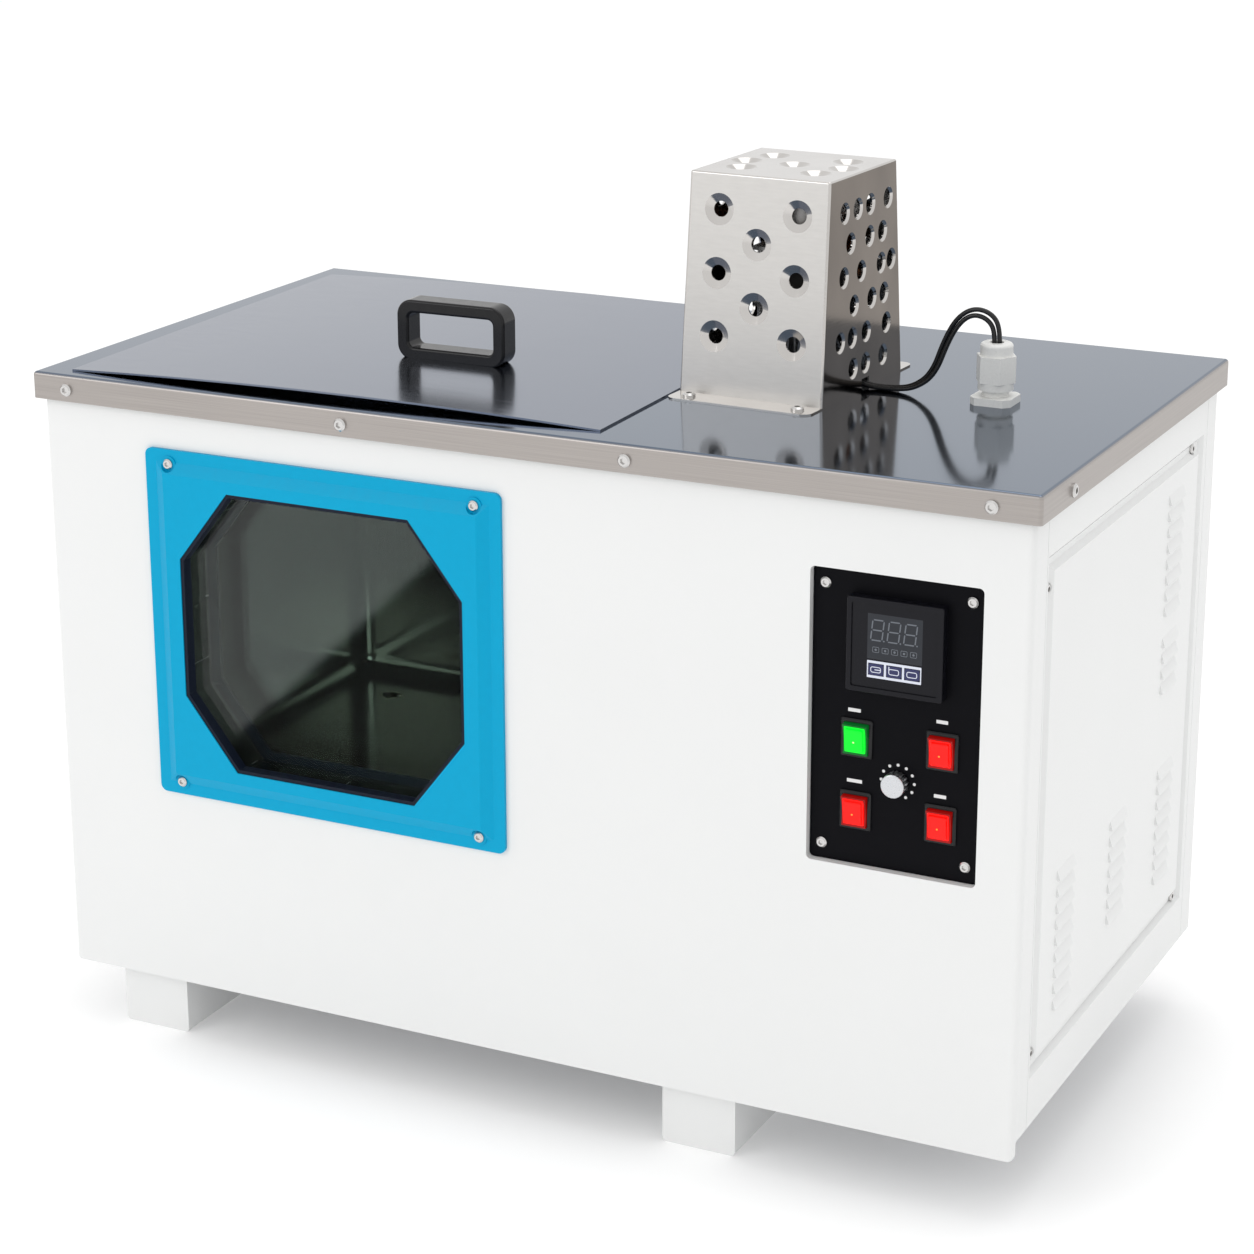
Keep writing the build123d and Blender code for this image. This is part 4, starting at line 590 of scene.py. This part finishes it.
class BATH_OT_lead(BathOperator, bpy.types.Operator):
    """Lay the motor lead's two cores from the gland to the motor"""
    bl_idname = "bath.lead"
    bl_label = "Motor lead"

    left_route = (
        (735.9, 240.0, 46.0), (735.9, 240.0, 57.5), (728.8, 240.0, 65.9), (717.5, 240.0, 67.9),
        (707.3, 239.8, 60.7), (698.5, 239.2, 45.0), (688.5, 238.5, 17.0), (672.0, 237.8, 4.6),
        (654.0, 237.2, 2.2), (632.0, 236.2, 2.6), (610.0, 240.0, 9.0), (598.0, 256.0, 26.0),
        (581.0, 265.0, 46.0), (581.0, 265.0, 66.0))
    right_route = (
        (740.1, 240.0, 46.0), (740.1, 240.0, 60.5), (732.0, 240.0, 70.6), (718.0, 240.2, 72.9),
        (704.6, 240.4, 64.0), (694.5, 241.0, 46.0), (684.5, 241.8, 17.5), (669.0, 242.2, 4.9),
        (652.0, 242.0, 2.2), (632.0, 240.8, 2.6), (612.0, 245.0, 10.0), (602.0, 262.0, 28.0),
        (579.5, 275.0, 46.0), (579.5, 275.0, 66.0))

    # The routes give x, y and height in millimetres from the top plate's front left corner.
    def lay(self, name, route, length, material):
        """One core as a smooth curve along its route above the top plate."""
        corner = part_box("top_plate")
        left, front, top = corner[0][0], corner[0][1], corner[1][2]
        curve = bpy.data.curves.new(name, "CURVE")
        curve.dimensions = "3D"
        curve.bevel_depth = details().lead_diameter / 2
        curve.bevel_resolution = 5
        curve.resolution_u = 8
        curve.use_fill_caps = True
        spline = curve.splines.new("NURBS")
        spline.points.add(len(route) - 1)
        places = [(left + x * MM, front + y * MM, top + z * MM) for x, y, z in route]
        for point, place in zip(spline.points, places):
            point.co = (*place, 1.0)
        spline.order_u = 3
        spline.use_endpoint_u = True
        piece = bpy.data.objects.new(name + "_core", curve)
        bpy.context.scene.collection.objects.link(piece)
        curve.materials.append(material)
        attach(piece, "cabinet")
        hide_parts(name)

    def make(self, context):
        rubber = moulded("lead_insulation", (0.008, 0.008, 0.009), 0.3, 900.0, 0.00001)
        self.lay("motor_lead_left", self.left_route, 0.247, rubber)
        self.lay("motor_lead_right", self.right_route, 0.260, rubber)


class BATH_OT_gland(BathOperator, bpy.types.Operator):
    """Mould the white gland on the plate and the dark one at the back"""
    bl_idname = "bath.gland"
    bl_label = "Cable glands"

    def make(self, context):
        white = moulded("gland_white", (0.78, 0.78, 0.76), 0.35, 700.0, 0.00002)
        dress(white, "gland_body", "gland_nut")
        dress(moulded("gland_black", (0.02, 0.02, 0.02)), "mains_gland")


class BATH_OT_screws(BathOperator, bpy.types.Operator):
    """Plate the screws"""
    bl_idname = "bath.screws"
    bl_label = "Screws"

    def make(self, context):
        plated = brushed("screw_plating", (0.62, 0.61, 0.6), 0.2, (400.0, 400.0, 400.0), 0.00001)
        dress(plated, "main_screws", "small_screws", "handle_screws")


class BATH_OT_controller(BathOperator, bpy.types.Operator):
    """Dress the controller, its unlit digits and its keys"""
    bl_idname = "bath.controller"
    bl_label = "Controller"

    # The seven bars of a digit: centre and direction, in halves of its width and height.
    bars = ((0, 1, "across"), (0, 0, "across"), (0, -1, "across"), (-1, 0.5, "up"), (1, 0.5, "up"),
            (-1, -0.5, "up"), (1, -0.5, "up"))
    # Half a bar's thickness, as a share of the digit's width.
    bar_thickness = 0.055
    # The gap at a bar's end and the point's radius, as multiples of half a bar's thickness.
    bar_gap = 1.2
    point_radius = 1.3
    # How far right of the digit's middle the point stands, in halves of the digit's width.
    point_place = 1.35
    digit_drop = 0.0046
    digit_offset = 0.0008
    # How far a digit or mark reaches into the display's face and out of it.
    film = 0.00006
    mark_count = 5
    mark_pitch = 0.0073
    mark_drop = 0.0272
    mark_dot = 0.0009
    # Width, height and corner radius of the rings of the marks and of the keys' signs.
    mark_outer = (0.0052, 0.0044, 0.0009)
    mark_inner = (0.0044, 0.0036, 0.0006)
    sign_outer = (0.0082, 0.0046, 0.0016)
    sign_inner = (0.0070, 0.0034, 0.0010)
    # The bar in the left key's sign and the stem of the middle key's sign: place from the middle, and size.
    sign_bars = {"left": ((0.0016, 0.0), (0.0050, 0.0007)), "middle": ((-0.0038, 0.0022), (0.0007, 0.0034))}
    sign_bar_corner = 0.0003
    sign_sunk = 0.00008
    sign_raised = 0.00005
    strip_half_height = 0.0065
    strip_gap = 0.00035
    strip_thickness = 0.0003
    strip_corner = 0.0002

    def digit(self, shape, x, z, front):
        """Seven bars with pointed ends and a decimal point, leaning to the right."""
        size = details()
        half_w = size.digit_width / 2
        half_h = size.digit_height / 2
        thick = size.digit_width * self.bar_thickness
        lean = math.tan(size.digit_slant)
        for along, up, way in self.bars:
            cx = along * half_w
            cz = up * half_h
            reach = (half_w if way == "across" else half_h / 2) - thick * self.bar_gap
            corners = [(-reach, 0), (thick - reach, thick), (reach - thick, thick), (reach, 0),
                       (reach - thick, -thick), (thick - reach, -thick)]
            if way == "up":
                corners = [(b, a) for a, b in corners]
            outline = [(x + cx + a + (cz + b) * lean, z + cz + b) for a, b in corners]
            add_prism(shape, outline, front + self.film, front - self.film)
        point_x = x + half_w * self.point_place - half_h * lean
        point = circle_outline(point_x, z - half_h, thick * self.point_radius, 10)
        add_prism(shape, point, front + self.film, front - self.film)

    def mark(self, shape, x, z, front):
        """Small ring with a dot in it, under the digits."""
        outer = rounded_outline(x, z, *self.mark_outer)
        inner = rounded_outline(x, z, *self.mark_inner)
        add_frame(shape, outer, inner, front + self.film, front - self.film)
        add_prism(shape, circle_outline(x, z, self.mark_dot, 12), front + self.film, front - self.film)

    def key_sign(self, shape, x, z, front, key):
        """Raised ring on a key, with a bar in it on the left key and a stem on the middle key."""
        outer = rounded_outline(x, z, *self.sign_outer)
        inner = rounded_outline(x, z, *self.sign_inner)
        add_frame(shape, outer, inner, front + self.sign_sunk, front - self.sign_raised)
        if key in self.sign_bars:
            (bar_x, bar_z), (width, height) = self.sign_bars[key]
            bar = rounded_outline(x + bar_x, z + bar_z, width, height, self.sign_bar_corner)
            add_prism(shape, bar, front + self.sign_sunk, front - self.film)

    def make(self, context):
        black = gloss_paint("controller_black", (0.006, 0.006, 0.009), 0.16, 0.18)
        dress(black, "controller_case")
        dress(gloss_paint("display_grey", (0.035, 0.038, 0.045), 0.12, 0.15), "controller_display")
        dress(gloss_paint("key_blue", (0.012, 0.016, 0.09), 0.3), "key_left", "key_middle", "key_right")
        low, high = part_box("controller_display")
        front = low[1]
        middle = (low[0] + high[0]) / 2
        top = high[2]
        pale = gloss_paint("unlit_segments", (0.13, 0.145, 0.17), 0.3)
        size = details()
        digit_z = top - self.digit_drop - size.digit_height / 2

        def digits(shape):
            for step in (-1, 0, 1):
                self.digit(shape, middle - self.digit_offset + step * size.digit_pitch, digit_z, front)

        def marks(shape):
            for step in range(self.mark_count):
                x = middle + (step - (self.mark_count - 1) / 2) * self.mark_pitch
                self.mark(shape, x, top - self.mark_drop, front)

        for name, maker in (("display_digits", digits), ("display_marks", marks)):
            piece = mesh_piece(name, maker, pale, "cabinet")
        self.key_strip(middle, front)

    def key_strip(self, middle, front):
        """White strip round the three keys and the sign on each key."""
        white = gloss_paint("strip_white", (0.72, 0.75, 0.85), 0.35)
        low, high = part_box("key_middle")
        centre_z = (low[2] + high[2]) / 2
        hole_width = high[0] - low[0] + 2 * self.strip_gap
        hole_height = high[2] - low[2] + 2 * self.strip_gap
        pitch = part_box("key_right")[0][0] - low[0]

        def strip(shape):
            for step in (-1, 0, 1):
                x = middle + step * pitch
                outer = rounded_outline(x, centre_z, pitch, 2 * self.strip_half_height, self.strip_corner, 1)
                inner = rounded_outline(x, centre_z, hole_width, hole_height, self.strip_corner, 1)
                add_frame(shape, outer, inner, front, front - self.strip_thickness)

        mesh_piece("key_strip", strip, white, "cabinet")
        for name in ("left", "middle", "right"):
            key_low, key_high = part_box("key_" + name)
            x = (key_low[0] + key_high[0]) / 2

            def sign(shape):
                self.key_sign(shape, x, centre_z, key_low[1], name)

            mesh_piece("key_sign_" + name, sign, white, "key_" + name)


class BATH_OT_switches(BathOperator, bpy.types.Operator):
    """Dress the rocker switches and add their lit lenses"""
    bl_idname = "bath.switches"
    bl_label = "Rocker switches"

    tilt = math.radians(6)
    # Width and height of the lens's two steps, and how far each reaches in front of the rocker's pivot.
    lens_steps = ((0.0166, 0.0208, 0.0058), (0.0142, 0.0178, 0.0076))
    lens_foot = 0.0030
    lens_rise = 0.0004
    lens_corner = 0.0012
    lens_bevel = 0.0009
    bulb_radius = 0.0007
    bulb_drop = 0.0006
    bulb_foot = 0.0070
    bulb_face = 0.00768

    def rocker_place(self, name):
        """Place and tilt of a rocker's middle, on the control plate's face."""
        low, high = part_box("rocker_" + name)
        switch_low, switch_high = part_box("switch_" + name)
        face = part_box("control_plate")[0][1]
        pivot = Vector(((low[0] + high[0]) / 2, face, (switch_low[2] + switch_high[2]) / 2))
        return Matrix.Translation(pivot) @ Matrix.Rotation(self.tilt, 4, "X")

    def lens(self, name, material):
        """Raised lens on the middle of a rocker, tilted with it, with a bevelled rim."""
        def build(shape):
            for width, height, face in self.lens_steps:
                outline = rounded_outline(0, self.lens_rise, width, height, self.lens_corner)
                add_prism(shape, outline, -self.lens_foot, -face)
            bmesh.ops.transform(shape, matrix=self.rocker_place(name), verts=shape.verts)

        return mesh_piece("lens_" + name, build, material, "rocker_" + name,
                          bevel=self.lens_bevel, segments=3)

    def lamp_spot(self, name, colour):
        """Small bright spot where the bulb shows through the lens."""
        material = lit_lens("bulb_spot_" + name, colour, colour, 1.0)

        def build(shape):
            outline = circle_outline(0, -self.bulb_drop, self.bulb_radius, 16)
            add_prism(shape, outline, -self.bulb_foot, -self.bulb_face)
            bmesh.ops.transform(shape, matrix=self.rocker_place(name), verts=shape.verts)

        return mesh_piece("bulb_" + name, build, material, "rocker_" + name)

    def make(self, context):
        look = finishes()
        names = ("left_upper", "left_lower", "right_upper", "right_lower")
        black = gloss_paint("switch_black", (0.008, 0.008, 0.009), 0.22, 0.3)
        dress(black, *("switch_" + name for name in names))
        green = lit_lens("lens_green", look.green_lens, look.green_lens, 0.9)
        red = lit_lens("lens_red", look.red_lens, look.red_lens, 0.8)
        dress(lit_lens("rocker_green", (0.0, 0.10, 0.015), (0.0, 0.12, 0.01), 0.5), "rocker_left_upper")
        dark_red = lit_lens("rocker_red", (0.22, 0.002, 0.001), (0.3, 0.001, 0.0), 0.5)
        dress(dark_red, "rocker_left_lower", "rocker_right_upper", "rocker_right_lower")
        for name in names:
            is_green = name == "left_upper"
            self.lens(name, green if is_green else red)
            self.lamp_spot(name, (0.45, 0.9, 0.25) if is_green else (0.95, 0.22, 0.03))


class BATH_OT_dial(BathOperator, bpy.types.Operator):
    """Dress the speed knob and print the dots round it and the bars over the switches"""
    bl_idname = "bath.dial"
    bl_label = "Control plate and dial"

    # Bars over the switches, in millimetres: how far from the plate's left edge and top, and the width.
    bars = ((33.8, 107.7, 10.0), (102.3, 106.4, 9.0), (34.9, 162.9, 12.0), (102.2, 164.0, 9.5))
    bar_height = 2.7
    bar_corner = 0.0003
    dot_radius = 0.0012
    # Angle of the first dot and the angle that the dots run through, in degrees.
    first_dot = 240
    dial_sweep = 300
    # How far a print reaches into the plate and out of it.
    print_sunk = 0.0001
    print_raised = 0.00008

    def make(self, context):
        dress(moulded("plate_black", finishes().panel_paint, 0.42, 1400.0, 0.00001, 0.06), "control_plate")
        dress(moulded("switchgear_black", (0.02, 0.02, 0.02)), "potentiometer", "relay")
        silver = brushed("knob_silver", (0.62, 0.63, 0.65), 0.28, (700.0, 90.0, 700.0), 0.00002)
        dress(silver, "speed_knob")
        white = moulded("printed_white", (0.8, 0.8, 0.8), 0.5, 2000.0, 0.000005)
        low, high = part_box("control_plate")
        front = low[1]
        knob_low, knob_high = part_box("speed_knob")
        knob_x = (knob_low[0] + knob_high[0]) / 2
        knob_z = (knob_low[2] + knob_high[2]) / 2
        size = details()

        def dots(shape):
            for number in range(size.dial_dots):
                angle = math.radians(self.first_dot - self.dial_sweep * number / (size.dial_dots - 1))
                dot_x = knob_x + size.dial_radius * math.cos(angle)
                dot_z = knob_z + size.dial_radius * math.sin(angle)
                add_prism(shape, circle_outline(dot_x, dot_z, self.dot_radius, 16),
                          front + self.print_sunk, front - self.print_raised)

        def bars(shape):
            for x, drop, width in self.bars:
                outline = rounded_outline(low[0] + x * MM, high[2] - drop * MM, width * MM,
                                          self.bar_height * MM, self.bar_corner, 2)
                add_prism(shape, outline, front + self.print_sunk, front - self.print_raised)

        mesh_piece("dial_dots", dots, white, "cabinet")
        mesh_piece("switch_bars", bars, white, "cabinet")


class BATH_OT_drain(BathOperator, bpy.types.Operator):
    """Dress the drain, its cock and its lever"""
    bl_idname = "bath.drain"
    bl_label = "Drain"

    def make(self, context):
        plated = brushed("plated_brass", (0.5, 0.46, 0.38), 0.24, (200.0, 200.0, 200.0), 0.00002)
        dress(plated, "drain_valve", "drain_ball", "drain_pipe")
        dress(gloss_paint("lever_blue", (0.02, 0.06, 0.3), 0.35), "drain_lever")


class BATH_OT_stage(BathOperator, bpy.types.Operator):
    """Set the floor, the lamps and the camera"""
    bl_idname = "bath.stage"
    bl_label = "Studio"

    # The sensor's width is in millimetres, every other length in metres.
    sensor_width = 36.0
    clip_near = 0.05
    clip_far = 50.0
    floor_reach = 8.0
    floor_lift = 0.14
    sky_strength = 0.9
    key_place = (-1.6, -2.6, 2.0)
    key_target = (0, 0, 0.35)
    key_size = (1.6, 1.6)
    top_place = (0.3, 0.3, 2.8)
    top_target = (0, 0, 0.5)
    top_size = (2.2, 1.6)

    def camera(self, context):
        """Camera that sees the bath as the photo does."""
        values = stage_values()
        az, el, roll = values.azimuth, values.elevation, values.roll
        back = Vector((math.sin(az) * math.cos(el), -math.cos(az) * math.cos(el), math.sin(el)))
        right = Vector((0, 0, 1)).cross(back).normalized()
        up = back.cross(right)
        turned_right = math.cos(roll) * right + math.sin(roll) * up
        turned_up = math.cos(roll) * up - math.sin(roll) * right
        data = bpy.data.cameras.new("camera")
        data.sensor_width = self.sensor_width
        data.lens = values.focal_length
        data.shift_y = values.drop
        data.clip_start = self.clip_near
        data.clip_end = self.clip_far
        camera = bpy.data.objects.new("camera", data)
        axes = Matrix((turned_right, turned_up, back)).transposed().to_4x4()
        camera.matrix_world = Matrix.Translation(values.place) @ axes
        context.scene.collection.objects.link(camera)
        context.scene.camera = camera

    def floor(self, context):
        """White floor that lifts its own tone a little and still takes a shadow."""
        mesh = bpy.data.meshes.new("floor")
        reach = self.floor_reach
        mesh.from_pydata([(-reach, -reach, 0), (reach, -reach, 0), (reach, reach, 0), (-reach, reach, 0)],
                         [], [(0, 1, 2, 3)])
        floor = bpy.data.objects.new("floor", mesh)
        context.scene.collection.objects.link(floor)
        paint = start_material("floor_white", Base_Color=(0.97, 0.97, 0.97, 1), Roughness=0.9,
                               Emission_Color=(1.0, 1.0, 1.0, 1), Emission_Strength=self.floor_lift)[0]
        mesh.materials.append(paint)

    def lamp(self, context, name, place, target, size, power):
        """Rectangular lamp that shines from its place at a target."""
        data = bpy.data.lights.new(name, "AREA")
        data.shape = "RECTANGLE"
        data.size, data.size_y = size
        data.energy = power
        lamp = bpy.data.objects.new(name, data)
        lamp.location = place
        aim = Vector(target) - Vector(place)
        lamp.rotation_euler = aim.to_track_quat("-Z", "Y").to_euler()
        context.scene.collection.objects.link(lamp)

    def world(self, context):
        """Even light, with a plain white background for what the camera and reflections see."""
        world = bpy.data.worlds.new("studio")
        world.use_nodes = True
        tree = world.node_tree
        soft = tree.nodes["Background"]
        soft.inputs["Color"].default_value = (1.0, 1.0, 1.0, 1.0)
        soft.inputs["Strength"].default_value = self.sky_strength
        white = add_node(tree, "ShaderNodeBackground")
        white.inputs["Color"].default_value = (1.0, 1.0, 1.0, 1.0)
        path = add_node(tree, "ShaderNodeLightPath")
        seen = add_node(tree, "ShaderNodeMath", operation="MAXIMUM")
        through = add_node(tree, "ShaderNodeMath", operation="MAXIMUM")
        mix = add_node(tree, "ShaderNodeMixShader")
        link = tree.links.new
        link(path.outputs["Is Camera Ray"], seen.inputs[0])
        link(path.outputs["Is Glossy Ray"], seen.inputs[1])
        link(seen.outputs[0], through.inputs[0])
        link(path.outputs["Is Transmission Ray"], through.inputs[1])
        link(through.outputs[0], mix.inputs["Fac"])
        link(soft.outputs[0], mix.inputs[1])
        link(white.outputs[0], mix.inputs[2])
        link(mix.outputs[0], tree.nodes["World Output"].inputs["Surface"])
        context.scene.world = world

    def make(self, context):
        values = stage_values()
        self.camera(context)
        self.floor(context)
        self.world(context)
        self.lamp(context, "key_lamp", self.key_place, self.key_target, self.key_size, values.key_power)
        self.lamp(context, "top_lamp", self.top_place, self.top_target, self.top_size, values.top_power)
        context.scene.view_settings.view_transform = "Standard"


OPERATORS = (BATH_OT_cabinet, BATH_OT_top, BATH_OT_lid, BATH_OT_window, BATH_OT_tank, BATH_OT_motor,
             BATH_OT_lead, BATH_OT_gland, BATH_OT_screws, BATH_OT_controller, BATH_OT_switches, BATH_OT_dial,
             BATH_OT_drain, BATH_OT_stage)


class BATH_PT_sidebar(bpy.types.Panel):
    """Lists the steps that dress the bath and the values that they use"""
    bl_idname = "BATH_PT_sidebar"
    bl_label = "Water bath"
    bl_space_type = "VIEW_3D"
    bl_region_type = "UI"
    bl_category = "Water bath"

    def draw(self, context):
        column = self.layout.column(align=True)
        for step in OPERATORS:
            column.operator(step.bl_idname, text=step.bl_label)
        for group in (context.scene.bath_finishes, context.scene.bath_details, context.scene.bath_stage):
            box = self.layout.box()
            for name in group.__annotations__:
                box.prop(group, name)


CLASSES = (BathFinishes, BathDetails, BathStage) + OPERATORS + (BATH_PT_sidebar,)


def register():
    """Adds the add-on's classes and its values to Blender."""
    for item in CLASSES:
        bpy.utils.register_class(item)
    bpy.types.Scene.bath_finishes = PointerProperty(type=BathFinishes)
    bpy.types.Scene.bath_details = PointerProperty(type=BathDetails)
    bpy.types.Scene.bath_stage = PointerProperty(type=BathStage)


def unregister():
    """Takes the add-on's values and classes out of Blender again."""
    del bpy.types.Scene.bath_stage
    del bpy.types.Scene.bath_details
    del bpy.types.Scene.bath_finishes
    for item in reversed(CLASSES):
        bpy.utils.unregister_class(item)


def main():
    """Registers the add-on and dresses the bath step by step."""
    register()
    for step in OPERATORS:
        family, name = step.bl_idname.split(".")
        getattr(getattr(bpy.ops, family), name)()


if __name__ == "__main__":
    main()
